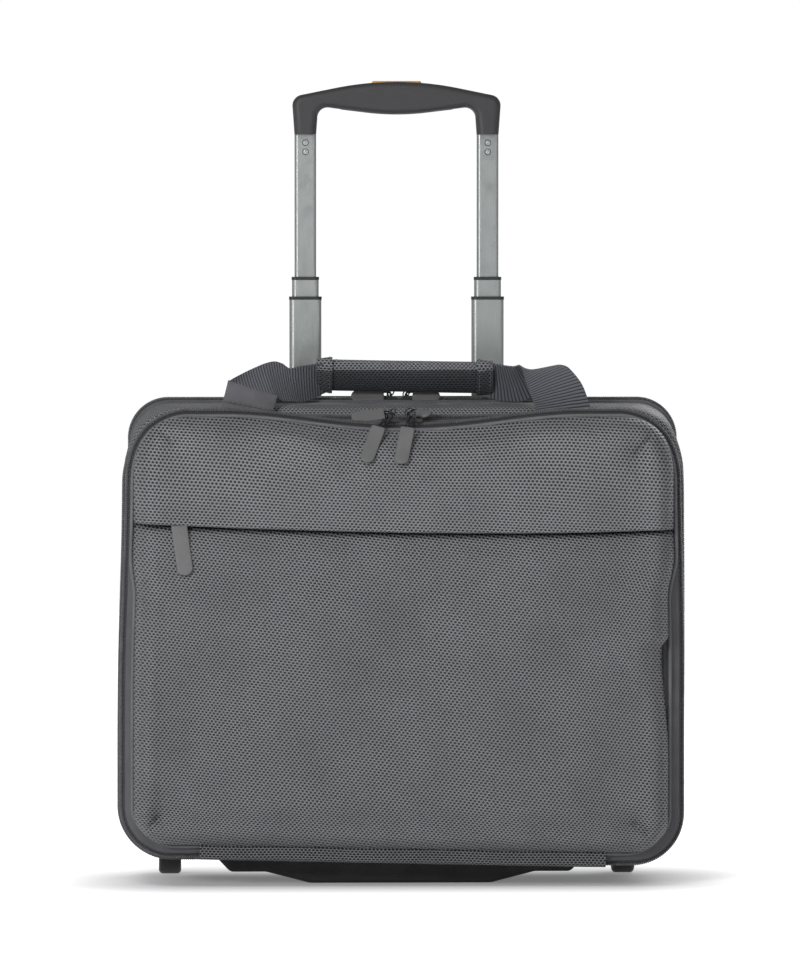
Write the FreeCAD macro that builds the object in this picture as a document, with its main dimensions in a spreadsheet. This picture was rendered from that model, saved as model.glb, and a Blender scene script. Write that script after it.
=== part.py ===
import FreeCAD, Part
import math
import os
import re

import Sketcher
from FreeCAD import Placement, Rotation, Vector

# A two-wheeled fabric laptop case. Three zips part it, like a book standing on its spine, into a
# front lid, a document section, a main section and a rear section, all hinged along the bottom.
# The rear section carries the wheels and a three-stage pull handle. +Z is up, the lid faces -Y,
# and the origin lies on the floor under the middle of the case.

doc = FreeCAD.newDocument("rolling_laptop_case")
sheet = doc.addObject("Spreadsheet::Sheet", "Sizes")

# Driving dimensions, in millimetres and degrees.
SIZES = {
    # fabric sections
    "case_width": 420, "rear_width": 412, "case_depth": 198, "base_height": 20,
    "front_top": 347, "rear_top": 362, "front_radius": 45, "rear_radius": 28, "fabric": 3,
    "pocket_depth": 10, "lid_depth": 18, "document_depth": 10, "rear_depth": 54,
    "wheel_overhang": 11, "lid_inset_top": 18, "lid_inset_side": 10, "lid_inset_base": 8,
    "panel_inset": 6, "slit_level": 272, "slit_gap": 7, "divider_thickness": 6,
    "divider_setback": 30, "sewn_gap": 0.3, "lay_gap": 0.05, "edge_round": 6,
    # zips
    "tape_width": 8, "tape_thickness": 1.5, "parting_gap": 0.4, "coil_width": 2.2,
    "coil_height": 1.2, "hinge_half": 152, "pocket_zip_half": 182,
    "slider_length": 12, "slider_width": 9, "slider_plate": 1.6, "slider_clear": 0.3,
    "slider_spread": 9, "bridge_length": 7, "bridge_height": 3.6, "bridge_thickness": 2.4,
    "bridge_sink": 0.4, "bridge_round": 1, "bridge_side": 1.2, "bridge_sill": 0.5,
    "bridge_roof": 1.1, "eye_level": 1.5, "tape_recess": 0.4, "hinge_lap": 1,
    "plate_overlap": 1.5, "plate_round": 1.5, "neck_sink": 0.2, "neck_inset": 1.5,
    "neck_clear": 0.4, "tab_heel": 0.6, "tab_round": 1.5, "tab_tip_share": 2.1,
    "link_sink": 0.7, "pull_tilt_left": -15.6, "pull_tilt_right": -8, "pocket_pull_tilt": 10,
    "front_link_drop": 5, "front_tab_drop": 45, "lying_link_drop": 2, "lying_tab_drop": 3,
    "wire_radius": 0.75, "link_slack": 2, "link_length": 8.5, "tab_length": 29, "tab_width": 11,
    "tab_thickness": 2.6, "pocket_tab_length": 38, "pocket_tab_width": 12,
    "pocket_slider_at": 170,
    # carrying handle
    "strap_anchor_at": 117, "strap_width": 30, "strap_foot": 6, "strap_thickness": 2.4,
    "strap_setback": 8, "strap_rise": 4.2, "strap_reach": 36, "strap_angle": 43,
    "wrap_length": 130, "wrap_width": 34, "wrap_thickness": 16, "patch_width": 38,
    "patch_length": 20, "patch_thickness": 1.5, "patch_setback": 1, "wrap_rim": 0.1,
    # skid foot under the main section
    "skid_half": 139, "skid_toe": 128, "skid_shoulder": 101, "skid_flat": 68, "skid_step": 8.5,
    "skid_depth": 30, "skid_setback": 2, "skid_round": 3, "skid_sweep": 20, "skid_bend": 12,
    "skid_corner": 6,
    # wheels
    "wheel_radius": 26, "wheel_width": 17, "wheel_at": 173, "hub_radius": 18, "hub_width": 14,
    "axle_radius": 3, "well_clear": 3, "side_clear": 2, "running_clear": 0.05,
    "housing_inner": 155, "housing_outer": 198, "housing_top": 62, "housing_back": 5,
    "hub_hole_radius": 3, "hub_hole_at": 11, "hub_holes": 5, "tyre_round": 3,
    "housing_setback": 2, "housing_sweep": 20, "housing_round": 6, "bore_depth": 5,
    "axle_reach": 4.9,
    # pull handle
    "tube_spacing": 139, "wall_outer": 1.2, "wall_inner": 1,
    "outer_w": 28, "outer_d": 21, "first_w": 24.2, "first_d": 17.2,
    "second_w": 20.2, "second_d": 13.4, "third_w": 16.4, "third_d": 9.8, "tube_round": 4,
    "first_round": 3.5, "second_round": 3, "third_round": 2.5,
    "outer_foot": 34, "bezel_floor": 328, "bezel_wall": 1.6, "bezel_lip": 2, "cup_clear": 0.8,
    "first_top": 438, "first_length": 272, "second_top": 453, "second_length": 255,
    "grip_base": 564, "third_length": 241, "collar_height": 2.4, "collar_proud": 0.3,
    "skirt_depth": 8, "guide_flange": 4, "guide_spigot": 12, "slide_clear": 0.2,
    "skirt_bite": 0.5, "board_thickness": 2, "board_half": 150, "board_foot": 46,
    "board_drop": 17, "bracket_height": 21, "bracket_side": 3, "bracket_front": 1.7,
    "lip_side": 3, "lip_front": 2.5, "lip_round": 6, "cup_base": 2, "cup_round": 3,
    "socket_wall": 1.6, "socket_depth": 14, "socket_step": 3,
    # grip
    "grip_depth": 21, "grip_crown": 44.7, "grip_shoulder": 28.5, "grip_flare": 2,
    "grip_belly": 13.5, "grip_armpit": 21.5, "grip_round": 5, "spigot_depth": 20,
    "grip_corner": 8, "grip_top_sweep": 235, "grip_hand_sweep": 190, "armpit_inset": 1.5,
    "button_length": 37.5, "button_width": 9, "button_top": 40.6, "button_travel": 3,
    "button_round": 2.6, "button_edge": 1.2, "button_clear": 0.3, "button_well_round": 3,
    "bar_level": 23.9, "bar_height": 3.5, "bar_width": 3.6, "rod_radius": 2, "rod_gap": 30,
    "rod_clear": 0.3, "bar_clear": 0.4,
    "cover_half": 42.5, "cover_width": 8.6, "cover_top": 20.6, "cover_clear": 0.1,
    "cover_corner": 0.3, "cover_end": 2.6, "cover_lap": 0.2, "spring_radius": 2.2,
    "spring_wire": 0.35, "spring_seat": 2.4, "spring_clear": 0.4, "spring_slack": 0.02,
    "rivet_radius": 2.3, "rivet_head": 0.1, "rivet_shank": 1.2, "rivet_drop": 6.5,
    "rivet_pitch": 6.9, "rivet_depth": 1.9,
    # how far cuts run past what they cut
    "overcut": 1, "through": 80,
}

# Places worked out from the driving dimensions.
PLACES = {
    "front_y": "-case_depth/2",
    "lid_y": "front_y + pocket_depth",
    "lid_end": "lid_y + lid_depth",
    "parting_one": "lid_end + tape_width",
    "document_y": "parting_one + tape_width",
    "document_end": "document_y + document_depth",
    "parting_two": "document_end + tape_width",
    "main_y": "parting_two + tape_width",
    "back_y": "case_depth/2 - wheel_overhang",
    "rear_y": "back_y - rear_depth",
    "parting_three": "rear_y - tape_width",
    "main_end": "parting_three - tape_width",
    "roof_slope": "(rear_top - front_top)/(main_end - main_y)",
    "slit_low": "slit_level - slit_gap/2",
    "slit_high": "slit_level + slit_gap/2",
    "panel_top": "front_top - lid_inset_top - panel_inset",
    "panel_base": "base_height + lid_inset_base + panel_inset",
    "panel_half": "case_width/2 - lid_inset_side - panel_inset",
    "tube_y": "back_y - fabric - running_clear - cup_depth",
    "axle_y": "case_depth/2 - wheel_radius",
    "axle_z": "wheel_radius",
    "cup_half": "tube_spacing/2 + first_w/2 + cup_clear",
    "cup_depth": "grip_depth/2 + cup_clear + bezel_wall",
    "anchor_y": "main_y + strap_setback",
    "anchor_z": "front_top + roof_slope*strap_setback + patch_thickness + strap_rise",
    "wrap_y": "anchor_y + strap_reach*cos(strap_angle)",
    "wrap_z": "anchor_z + strap_reach*sin(strap_angle)",
    "first_bottom": "first_top - first_length",
    "second_bottom": "second_top - second_length",
    "third_bottom": "grip_base - third_length",
    "eye_rise": "coil_height + slider_clear + slider_plate + eye_level",
}
FUNCTIONS = ("cos", "sin", "deg")


def full(text):
    """Turns plain words for sizes and places into an expression on the sheet's cells."""

    def word(found):
        name = found.group(0)
        if name in FUNCTIONS:
            return name
        if name in PLACES:
            return "(" + full(PLACES[name]) + ")"
        if name == "strap_angle":
            return "(Sizes." + name + " * 1deg)"
        if name not in SIZES:
            raise KeyError(name)
        return "Sizes." + name

    return re.sub(r"[a-z][a-z_]+", word, text)


def fill_sheet():
    """Writes each driving dimension beside its name, and gives its cell that name."""
    for row, (name, number) in enumerate(SIZES.items(), start=1):
        sheet.set("A%d" % row, name)
        sheet.set("B%d" % row, str(number))
        sheet.setAlias("B%d" % row, name)
    doc.recompute()


def value(text):
    """The number that an expression in sizes and places gives."""
    found = sheet.evalExpression(full(text))
    return float(getattr(found, "Value", found))


def bind(thing, path, text):
    thing.setExpression(path, full(text))


# --- sketches -------------------------------------------------------------------------------

PLANES = {"top": "XY_Plane", "front": "XZ_Plane", "side": "YZ_Plane"}


def new_body(label):
    body = doc.addObject("PartDesign::Body", label)
    body.Label = label
    return body


def add_sketch(body, plane, at=("0", "0", "0"), turned=None):
    """A sketch whose own origin lies at the point at, in the case's frame, on a plane of the body.
    turned is (axis, angle) in the sketch's own directions."""
    sketch = body.newObject("Sketcher::SketchObject", body.Label + "_sketch")
    support = [f for f in body.Origin.OriginFeatures if f.Role == PLANES[plane]][0]
    sketch.AttachmentSupport = [(support, "")]
    sketch.MapMode = "FlatFace"
    x, y, z = at
    base = {"top": (x, y, z), "front": (x, z, "-(%s)" % y), "side": (y, z, x)}[plane]
    if turned:
        sketch.AttachmentOffset = Placement(Vector(), Rotation(turned[0], value(turned[1])))
        bind(sketch, "AttachmentOffset.Rotation.Angle", turned[1])
    for letter, text in zip("xyz", base):
        bind(sketch, "AttachmentOffset.Base." + letter, text)
    return sketch


def dimension(sketch, kind, *arguments):
    """Adds one dimension, whose last argument is its expression."""
    number = value(arguments[-1])
    index = sketch.addConstraint(Sketcher.Constraint(kind, *arguments[:-1], number))
    bind(sketch, "Constraints[%d]" % index, arguments[-1])


def rounded_rectangle(sketch, width, height, radius):
    """Four lines and four arcs about the sketch's origin."""
    w, h, r = value(width) / 2, value(height) / 2, value(radius)
    quarter = 1.5707963267948966
    first = sketch.GeometryCount
    centres = [(w - r, h - r), (r - w, h - r), (r - w, r - h), (w - r, r - h)]
    for turn, (x, y) in enumerate(centres):
        circle = Part.Circle(Vector(x, y, 0), Vector(0, 0, 1), r)
        sketch.addGeometry(Part.ArcOfCircle(circle, turn * quarter, (turn + 1) * quarter), False)
    ends = [(w - r, h), (r - w, h), (-w, h - r), (-w, r - h), (r - w, -h), (w - r, -h),
            (w, r - h), (w, h - r)]
    for side in range(4):
        a, b = ends[2 * side], ends[2 * side + 1]
        sketch.addGeometry(Part.LineSegment(Vector(*a, 0), Vector(*b, 0)), False)
    for side in range(4):
        line, arc, next_arc = first + 4 + side, first + side, first + (side + 1) % 4
        sketch.addConstraint(Sketcher.Constraint("Tangent", arc, 2, line, 1))
        sketch.addConstraint(Sketcher.Constraint("Tangent", line, 2, next_arc, 1))
        level = "Horizontal" if side % 2 == 0 else "Vertical"
        sketch.addConstraint(Sketcher.Constraint(level, line))
    for arc in range(1, 4):
        sketch.addConstraint(Sketcher.Constraint("Equal", first, first + arc))
    sketch.addConstraint(Sketcher.Constraint("Symmetric", first, 3, first + 2, 3, -1, 1))
    dimension(sketch, "Radius", first, radius)
    dimension(sketch, "DistanceX", first + 2, 3, first, 3, "%s - 2*(%s)" % (width, radius))
    dimension(sketch, "DistanceY", first + 2, 3, first, 3, "%s - 2*(%s)" % (height, radius))


def rectangle(sketch, x_low, y_low, x_high, y_high):
    """Four lines with their corners at the given places."""
    polygon(sketch, [(x_low, y_low), (x_high, y_low), (x_high, y_high), (x_low, y_high)])


def polygon(sketch, corners):
    """A closed outline of straight lines, rounded at each corner that has a third entry. Every
    arc is drawn anticlockwise, so its ends swap where the outline turns right."""
    points = [Vector(value(c[0]), value(c[1]), 0) for c in corners]
    radii = [value(c[2]) if len(c) > 2 else 0 for c in corners]
    count = len(corners)
    starts, ends, arcs = [None] * count, [None] * count, {}
    for i, (here, radius) in enumerate(zip(points, radii)):
        before = (points[i - 1] - here).normalize()
        after = (points[(i + 1) % count] - here).normalize()
        starts[i] = ends[i] = here
        if radius:
            half = before.getAngle(after) / 2
            reach = radius / math.tan(half)
            ends[i], starts[i] = here + before * reach, here + after * reach
            inward = (before + after).normalize()
            centre = here + inward * ((reach ** 2 + radius ** 2) ** 0.5)
            middle = centre - inward * radius
            leftward = before.cross(after).z < 0
            between = (ends[i], middle, starts[i]) if leftward else (starts[i], middle, ends[i])
            arcs[i] = (Part.Arc(*between), leftward)
    lines = [sketch.addGeometry(Part.LineSegment(starts[i], ends[(i + 1) % count]), False)
             for i in range(count)]
    for i, corner in enumerate(corners):
        line_in, line_out = lines[i - 1], lines[i]
        if i in arcs:
            marker = sketch.addGeometry(Part.Point(points[i]), True)
            arc = sketch.addGeometry(arcs[i][0], False)
            first, second = (1, 2) if arcs[i][1] else (2, 1)
            sketch.addConstraint(Sketcher.Constraint("Tangent", line_in, 2, arc, first))
            sketch.addConstraint(Sketcher.Constraint("Tangent", arc, second, line_out, 1))
            sketch.addConstraint(Sketcher.Constraint("PointOnObject", marker, 1, line_in))
            sketch.addConstraint(Sketcher.Constraint("PointOnObject", marker, 1, line_out))
            dimension(sketch, "Radius", arc, corner[2])
            dimension(sketch, "DistanceX", -1, 1, marker, 1, corner[0])
            dimension(sketch, "DistanceY", -1, 1, marker, 1, corner[1])
        else:
            sketch.addConstraint(Sketcher.Constraint("Coincident", line_in, 2, line_out, 1))
            dimension(sketch, "DistanceX", -1, 1, line_out, 1, corner[0])
            dimension(sketch, "DistanceY", -1, 1, line_out, 1, corner[1])


def circle(sketch, x, y, radius):
    index = sketch.addGeometry(
        Part.Circle(Vector(value(x), value(y), 0), Vector(0, 0, 1), value(radius)), False)
    dimension(sketch, "Radius", index, radius)
    dimension(sketch, "DistanceX", -1, 1, index, 3, x)
    dimension(sketch, "DistanceY", -1, 1, index, 3, y)


# --- features -------------------------------------------------------------------------------

def add_feature(body, kind, sketch, length, backwards, middle):
    feature = body.newObject("PartDesign::" + kind, body.Label + "_" + kind.lower())
    feature.Profile = sketch
    bind(feature, "Length", length)
    feature.Reversed = backwards
    feature.Midplane = middle
    return feature


def pad(body, sketch, length, backwards=False, middle=False):
    """Extrudes a sketch: +Z from the top plane, -Y from the front plane and +X from the side
    plane, or the other way if backwards."""
    return add_feature(body, "Pad", sketch, length, backwards, middle)


def pocket(body, sketch, length, backwards=False, middle=False):
    """Cuts a sketch into the body, the opposite way to pad, and makes sure that it cut."""
    doc.recompute()
    before = body.Shape.Volume
    feature = add_feature(body, "Pocket", sketch, length, backwards, middle)
    doc.recompute()
    if body.Shape.Volume > before - 1e-3:
        raise RuntimeError(body.Label + ": a pocket cuts nothing")
    return feature


def loft(body, kind, first, second):
    feature = body.newObject("PartDesign::" + kind, body.Label + "_" + kind.lower())
    feature.Profile = first
    feature.Sections = [second]
    feature.Ruled = True
    return feature


def fillet(body, radius, chosen):
    """Rounds the edges that the test picks."""
    doc.recompute()
    base = body.Tip
    names = ["Edge%d" % n for n, e in enumerate(base.Shape.Edges, start=1) if chosen(e)]
    if not names:
        raise RuntimeError(body.Label + ": no edge to round")
    feature = body.newObject("PartDesign::Fillet", body.Label + "_fillet")
    feature.Base = (base, names)
    bind(feature, "Radius", radius)
    return feature


def box(label, low, high):
    """A plain block between two corners."""
    block = doc.addObject("Part::Box", label)
    block.Label = label
    for side, letter, a, b in zip(("Length", "Width", "Height"), "xyz", low, high):
        bind(block, side, "(%s) - (%s)" % (b, a))
        bind(block, "Placement.Base." + letter, a)
    return block


def rod(label, radius, at, length, along="z"):
    """A cylinder that starts at a point and runs along an axis."""
    turn = {"z": (Vector(0, 0, 1), 0), "x": (Vector(0, 1, 0), 90), "y": (Vector(1, 0, 0), -90)}
    cylinder = doc.addObject("Part::Cylinder", label)
    cylinder.Label = label
    cylinder.Placement = Placement(Vector(), Rotation(*turn[along]))
    bind(cylinder, "Radius", radius)
    bind(cylinder, "Height", length)
    for letter, text in zip("xyz", at):
        bind(cylinder, "Placement.Base." + letter, text)
    return cylinder


def group(label, pieces, kind="Compound"):
    """Several solids as one sub-part: separate in a Compound, joined in a MultiFuse."""
    whole = doc.addObject("Part::" + kind, label)
    whole.Label = label
    if kind == "Compound":
        whole.Links = pieces
    else:
        whole.Shapes = pieces
    return whole


SUBPARTS = []


def keep(thing):
    """Marks an object as a sub-part, which is written under its Label."""
    SUBPARTS.append(thing)
    return thing


def lies(edge, letter, text):
    """Whether an edge lies all along in the plane where a coordinate has this value."""
    limits = edge.BoundBox
    low, high = getattr(limits, letter + "Min"), getattr(limits, letter + "Max")
    return abs(low - value(text)) < 1e-3 and abs(high - value(text)) < 1e-3


# --- fabric sections ------------------------------------------------------------------------

FRONT_RING = ("case_width", "base_height", "front_top", "front_radius")
REAR_RING = ("rear_width", "base_height", "rear_top", "rear_radius")


def ring_sketch(body, ring, y, inset="0", outward="0"):
    """The outline of a section at the depth y, drawn in by inset or out by outward."""
    width, low, high, radius = ring
    sketch = add_sketch(body, "front", ("0", y, "(%s + %s)/2" % (low, high)))
    rounded_rectangle(sketch, "%s - 2*(%s) + 2*(%s)" % (width, inset, outward),
                      "%s - %s - 2*(%s) + 2*(%s)" % (high, low, inset, outward),
                      "%s - (%s) + (%s)" % (radius, inset, outward))
    return sketch


def lid_face_sketch(body, y, inset):
    """The smaller outline at the front of the lid's sloping rim."""
    middle = "(base_height + lid_inset_base + front_top - lid_inset_top)/2"
    sketch = add_sketch(body, "front", ("0", y, middle))
    rounded_rectangle(sketch, "case_width - 2*lid_inset_side - 2*(%s)" % inset,
                      "front_top - base_height - lid_inset_top - lid_inset_base - 2*(%s)" % inset,
                      "front_radius - lid_inset_side - (%s)" % inset)
    return sketch


def make_lid():
    """The lid's fabric shell: a front wall and a rim that slopes out to the zip."""
    body = new_body("lid_shell")
    loft(body, "AdditiveLoft", ring_sketch(body, FRONT_RING, "lid_end"),
         lid_face_sketch(body, "lid_y", "0"))
    doc.recompute()
    loft(body, "SubtractiveLoft", ring_sketch(body, FRONT_RING, "lid_end", "fabric"),
         lid_face_sketch(body, "lid_y + fabric", "fabric"))
    return keep(body)


def front_panel(label, above):
    """One of the two raised panels on the lid, above or below the pocket's mouth."""
    body = new_body(label)
    sketch = add_sketch(body, "front", ("0", "front_y", "(panel_top + panel_base)/2"))
    rounded_rectangle(sketch, "2*panel_half", "panel_top - panel_base",
                      "front_radius - lid_inset_side - panel_inset")
    pad(body, sketch, "pocket_depth", backwards=True)
    cut = add_sketch(body, "front", ("0", "front_y", "0"))
    if above:
        rectangle(cut, "-panel_half - overcut", "panel_base - overcut", "panel_half + overcut",
                  "slit_high")
    else:
        rectangle(cut, "-panel_half - overcut", "slit_low", "panel_half + overcut",
                  "panel_top + overcut")
    pocket(body, cut, "pocket_depth", backwards=False)
    fillet(body, "edge_round", lambda e: lies(e, "Y", "front_y")
           and not lies(e, "Z", "slit_high" if above else "slit_low"))
    if not above:
        hollow = add_sketch(body, "front", ("0", "lid_y", "0"))
        inner = "panel_half - fabric - edge_round/2"
        rectangle(hollow, "-(%s)" % inner, "panel_base + fabric + edge_round/2",
                  inner, "slit_low + overcut")
        pocket(body, hollow, "pocket_depth - fabric", backwards=True)
    return keep(body)


def make_pocket_zip():
    """The pocket's open zip: one tape along each lip of the mouth."""
    lips = (("pocket_zip_lower", "slit_low", "slit_low + coil_height"),
            ("pocket_zip_upper", "slit_high - coil_height", "slit_high"))
    halves = [box(name, ("-pocket_zip_half", "front_y + tape_recess", low),
                  ("pocket_zip_half", "front_y + fabric - tape_recess", high)) for name, low, high in lips]
    return keep(group("pocket_zip_tapes", halves))


def make_section_shells():
    """The document tray, the main section's tapering wall and the rear tray."""
    document = new_body("document_shell")
    pad(document, ring_sketch(document, FRONT_RING, "document_y"), "document_depth",
        backwards=True)
    pocket(document, ring_sketch(document, FRONT_RING, "document_y", "fabric"),
           "document_depth - fabric", backwards=False)
    keep(document)

    main = new_body("main_shell")
    loft(main, "AdditiveLoft", ring_sketch(main, FRONT_RING, "main_y"),
         ring_sketch(main, REAR_RING, "main_end"))
    doc.recompute()
    loft(main, "SubtractiveLoft", ring_sketch(main, FRONT_RING, "main_y", "fabric"),
         ring_sketch(main, REAR_RING, "main_end", "fabric"))
    keep(main)

    divider = new_body("laptop_divider")
    middle = "(base_height + front_top)/2"
    sheet_sketch = add_sketch(divider, "front", ("0", "main_y + divider_setback", middle))
    rounded_rectangle(sheet_sketch, "rear_width - 2*fabric - 2*sewn_gap",
                      "front_top - base_height - 2*fabric - 2*sewn_gap",
                      "front_radius - fabric - sewn_gap")
    pad(divider, sheet_sketch, "divider_thickness", backwards=True)
    keep(divider)

    rear = new_body("rear_shell")
    pad(rear, ring_sketch(rear, REAR_RING, "rear_y"), "rear_depth", backwards=True)
    pocket(rear, ring_sketch(rear, REAR_RING, "rear_y", "fabric"), "rear_depth - fabric",
           backwards=False)
    for sign in ("-", ""):
        corner = add_sketch(rear, "front", ("0", "rear_y", "0"))
        near, far = sign + "(housing_inner - sewn_gap)", sign + "(rear_width/2 + overcut)"
        if sign:
            near, far = far, near
        rectangle(corner, near, "base_height - overcut", far, "housing_top + sewn_gap")
        pocket(rear, corner, "rear_depth", backwards=False)
    mouth = add_sketch(rear, "top", ("0", "tube_y", "rear_top"))
    rounded_rectangle(mouth, "2*(cup_half + bezel_wall + sewn_gap)",
                      "2*(cup_depth + sewn_gap)", "tube_round")
    pocket(rear, mouth, "2*fabric")
    keep(rear)


def zip_half(label, ring, y, toward_front, hinge):
    """One side of a zip: a tape round the section, with a coil along its meeting edge. A side
    with a hinge strip is open along the bottom, where the strip takes its place."""
    body = new_body(label)
    length = "tape_width - parting_gap/2"
    start = y if toward_front else "%s + parting_gap/2" % y
    tape = ring_sketch(body, ring, start)
    hole = "%s - 2*tape_thickness" % ring[0]
    rounded_rectangle(tape, hole, "%s - %s - 2*tape_thickness" % (ring[2], ring[1]),
                      "%s - tape_thickness" % ring[3])
    pad(body, tape, length, backwards=True)
    meeting = "%s + tape_width - parting_gap/2 - coil_width" % y if toward_front else start
    coil = ring_sketch(body, ring, meeting, outward="coil_height")
    rounded_rectangle(coil, hole, "%s - %s - 2*tape_thickness" % (ring[2], ring[1]),
                      "%s - tape_thickness" % ring[3])
    pad(body, coil, "coil_width", backwards=True)
    doc.recompute()
    cut = add_sketch(body, "front", ("0", "%s + tape_width/2" % y, "0"))
    floor = "base_height + tape_thickness + hinge_lap" if hinge else "base_height"
    rectangle(cut, "-hinge_half", "base_height - coil_height - overcut", "hinge_half", floor)
    pocket(body, cut, "3*tape_width", middle=True)
    return keep(body)


def hinge_strip(label, y):
    """The strip of fabric along the bottom that the section in front of it turns on."""
    return keep(box(label, ("-hinge_half + sewn_gap", y, "base_height"),
                    ("hinge_half - sewn_gap", "%s + tape_width - parting_gap/2" % y,
                     "base_height + tape_thickness")))


# --- zip sliders and pulls ------------------------------------------------------------------

def slider_profile(sketch, level):
    """A slider's plate above the coils, with a skirt down the front side only, so that it leaves
    the coil behind it freely. The sketch's origin lies on the parting line, on the tape."""
    half, under = "slider_width/2", "coil_height + slider_clear"
    skirt = "-coil_width - parting_gap/2 - slider_clear"
    polygon(sketch, [
        ("-(%s)" % half, "%s + slider_clear" % level), (skirt, "%s + slider_clear" % level),
        (skirt, "%s + %s" % (level, under)), (half, "%s + %s" % (level, under)),
        (half, "%s + %s + slider_plate" % (level, under)),
        ("-(%s)" % half, "%s + %s + slider_plate" % (level, under))])


def bridge_outline(sketch):
    """The eye on top of a slider, with its foot a little inside the plate."""
    half, top = "bridge_length/2", "bridge_height"
    polygon(sketch, [("-(%s)" % half, "-bridge_sink"), (half, "-bridge_sink"),
                     (half, top, "bridge_round"), ("-(%s)" % half, top, "bridge_round")])
    left, right, roof = "bridge_side - " + half, half + " - bridge_side", top + " - bridge_roof"
    polygon(sketch, [(left, "bridge_sill"), (right, "bridge_sill"), (right, roof), (left, roof)])


def make_slider(label, x, y, z, pull_turns):
    """A slider on a zip along the top of the case, whose pull turns about X or Y."""
    body = new_body(label)
    profile = add_sketch(body, "side", ("%s - slider_length/2" % x, y, z))
    slider_profile(profile, "0")
    pad(body, profile, "slider_length")
    top = "%s + coil_height + slider_clear + slider_plate" % z
    bridge = add_sketch(body, "front" if pull_turns == "y" else "side", (x, y, top))
    bridge_outline(bridge)
    pad(body, bridge, "bridge_thickness", middle=True)
    return keep(body)


def make_pocket_slider():
    """The slider on the mouth of the front pocket: a plate in front of both lips."""
    label, x = "pocket_zip_slider", "-pocket_slider_at"
    body = new_body(label)
    plate = add_sketch(body, "front", (x, "front_y - slider_clear", "slit_level"))
    rounded_rectangle(plate, "slider_length", "slit_gap + 2*plate_overlap", "plate_round")
    pad(body, plate, "slider_plate")
    neck = add_sketch(body, "front", (x, "front_y - slider_clear - neck_sink", "slit_level"))
    rectangle(neck, "-slider_length/2 + neck_inset", "-slit_gap/2 + coil_height + neck_clear",
              "slider_length/2 - neck_inset", "slit_gap/2 - coil_height - neck_clear")
    pad(body, neck, "fabric", backwards=True)
    bridge = add_sketch(body, "side", (x, "front_y - slider_clear - slider_plate", "slit_level"),
                        turned=(Vector(0, 0, 1), "90"))
    bridge_outline(bridge)
    pad(body, bridge, "bridge_thickness", middle=True)
    return keep(body)


def make_pull(label, pivot, swing, slew, lean, tab_lean, length="tab_length", width="tab_width"):
    """A pull: a wire link through the slider's eye, with a moulded tab on it. It points along
    swing, goes down by the angles lean (the link) and tab_lean, and slews in its own plane."""
    tab = new_body(label + "_tab")
    outline = add_sketch(tab, "top")
    corner = "(%s)/tab_tip_share" % width
    polygon(outline, [("-tab_heel", "-(%s)/2" % width, "tab_round"),
                      (length, "-(%s)/2" % width, corner), (length, "(%s)/2" % width, corner),
                      ("-tab_heel", "(%s)/2" % width, "tab_round")])
    pad(tab, outline, "tab_thickness", middle=True)
    fillet(tab, "tab_thickness/4", lambda e: e.BoundBox.ZLength < 1e-6)

    radius, half = value("wire_radius"), value("bridge_thickness/2 + link_slack")
    reach = value("link_length - wire_radius - link_sink")
    corners = [Vector(reach, -half, 0), Vector(0, -half, 0), Vector(0, half, 0),
               Vector(reach, half, 0)]
    start = Part.Wire(Part.makeCircle(radius, corners[0], Vector(1, 0, 0)))
    link = doc.addObject("Part::Feature", label + "_link")
    link.Shape = Part.Wire(Part.makePolygon(corners).Edges).makePipeShell([start], True, False, 1)

    place = Placement(Vector(*(value(text) for text in pivot)), Rotation(*swing))
    link_turn = Rotation(Vector(0, 1, 0), lean).multiply(Rotation(Vector(0, 0, 1), slew))
    tab_turn = Rotation(Vector(0, 1, 0), tab_lean).multiply(Rotation(Vector(0, 0, 1), slew))
    end = link_turn.multVec(Vector(value("link_length"), 0, 0))
    link.Placement = place.multiply(Placement(Vector(), link_turn))
    tab.Placement = place.multiply(Placement(end, tab_turn))
    return keep(group(label, [tab, link]))


TO_LEFT = (Vector(0, 0, 1), 180)
TO_RIGHT = (Vector(0, 0, 1), 0)
TO_FRONT = (Vector(0, 0, 1), -90)
HANGING = (Vector(1, 1, -1), 120)


def make_zip_pulls():
    """Two sliders and pulls at the middle of each long zip, and one on the pocket's zip."""
    rows = (("front_zip", "parting_one", "front_top", "x"),
            ("middle_zip", "parting_two", "front_top", "y"),
            ("rear_zip", "parting_three", "rear_top", "y"))
    for zip_name, y, z, turns in rows:
        for side, x, outward in (("left", "-slider_spread", TO_LEFT),
                                 ("right", "slider_spread", TO_RIGHT)):
            make_slider("%s_slider_%s" % (zip_name, side), x, y, z, turns)
            pivot = (x, y, z + " + eye_rise")
            if turns == "x":
                make_pull("%s_pull_%s" % (zip_name, side), pivot, TO_FRONT,
                          value("pull_tilt_" + side), value("front_link_drop"),
                          value("front_tab_drop"))
            else:
                make_pull("%s_pull_%s" % (zip_name, side), pivot, outward, 0,
                          value("lying_link_drop"), value("lying_tab_drop"))
    make_pocket_slider()
    pivot = ("-pocket_slider_at", "front_y - slider_clear - slider_plate - eye_level", "slit_level")
    make_pull("pocket_zip_pull", pivot, HANGING, value("pocket_pull_tilt"), 0, 0,
              "pocket_tab_length", "pocket_tab_width")


# --- carrying handle ------------------------------------------------------------------------

def tilted_section(body, x, width, thickness, y, z, radius=None):
    """A section of the handle across X, whose width lies square to the way the handle leans."""
    sketch = add_sketch(body, "side", (x, y, z),
                        turned=(Vector(0, 0, 1), "strap_angle - 90 deg"))
    if radius:
        rounded_rectangle(sketch, width, thickness, radius)
    else:
        rectangle(sketch, "-(%s)/2" % width, "-(%s)/2" % thickness,
                  "(%s)/2" % width, "(%s)/2" % thickness)
    return sketch


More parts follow.
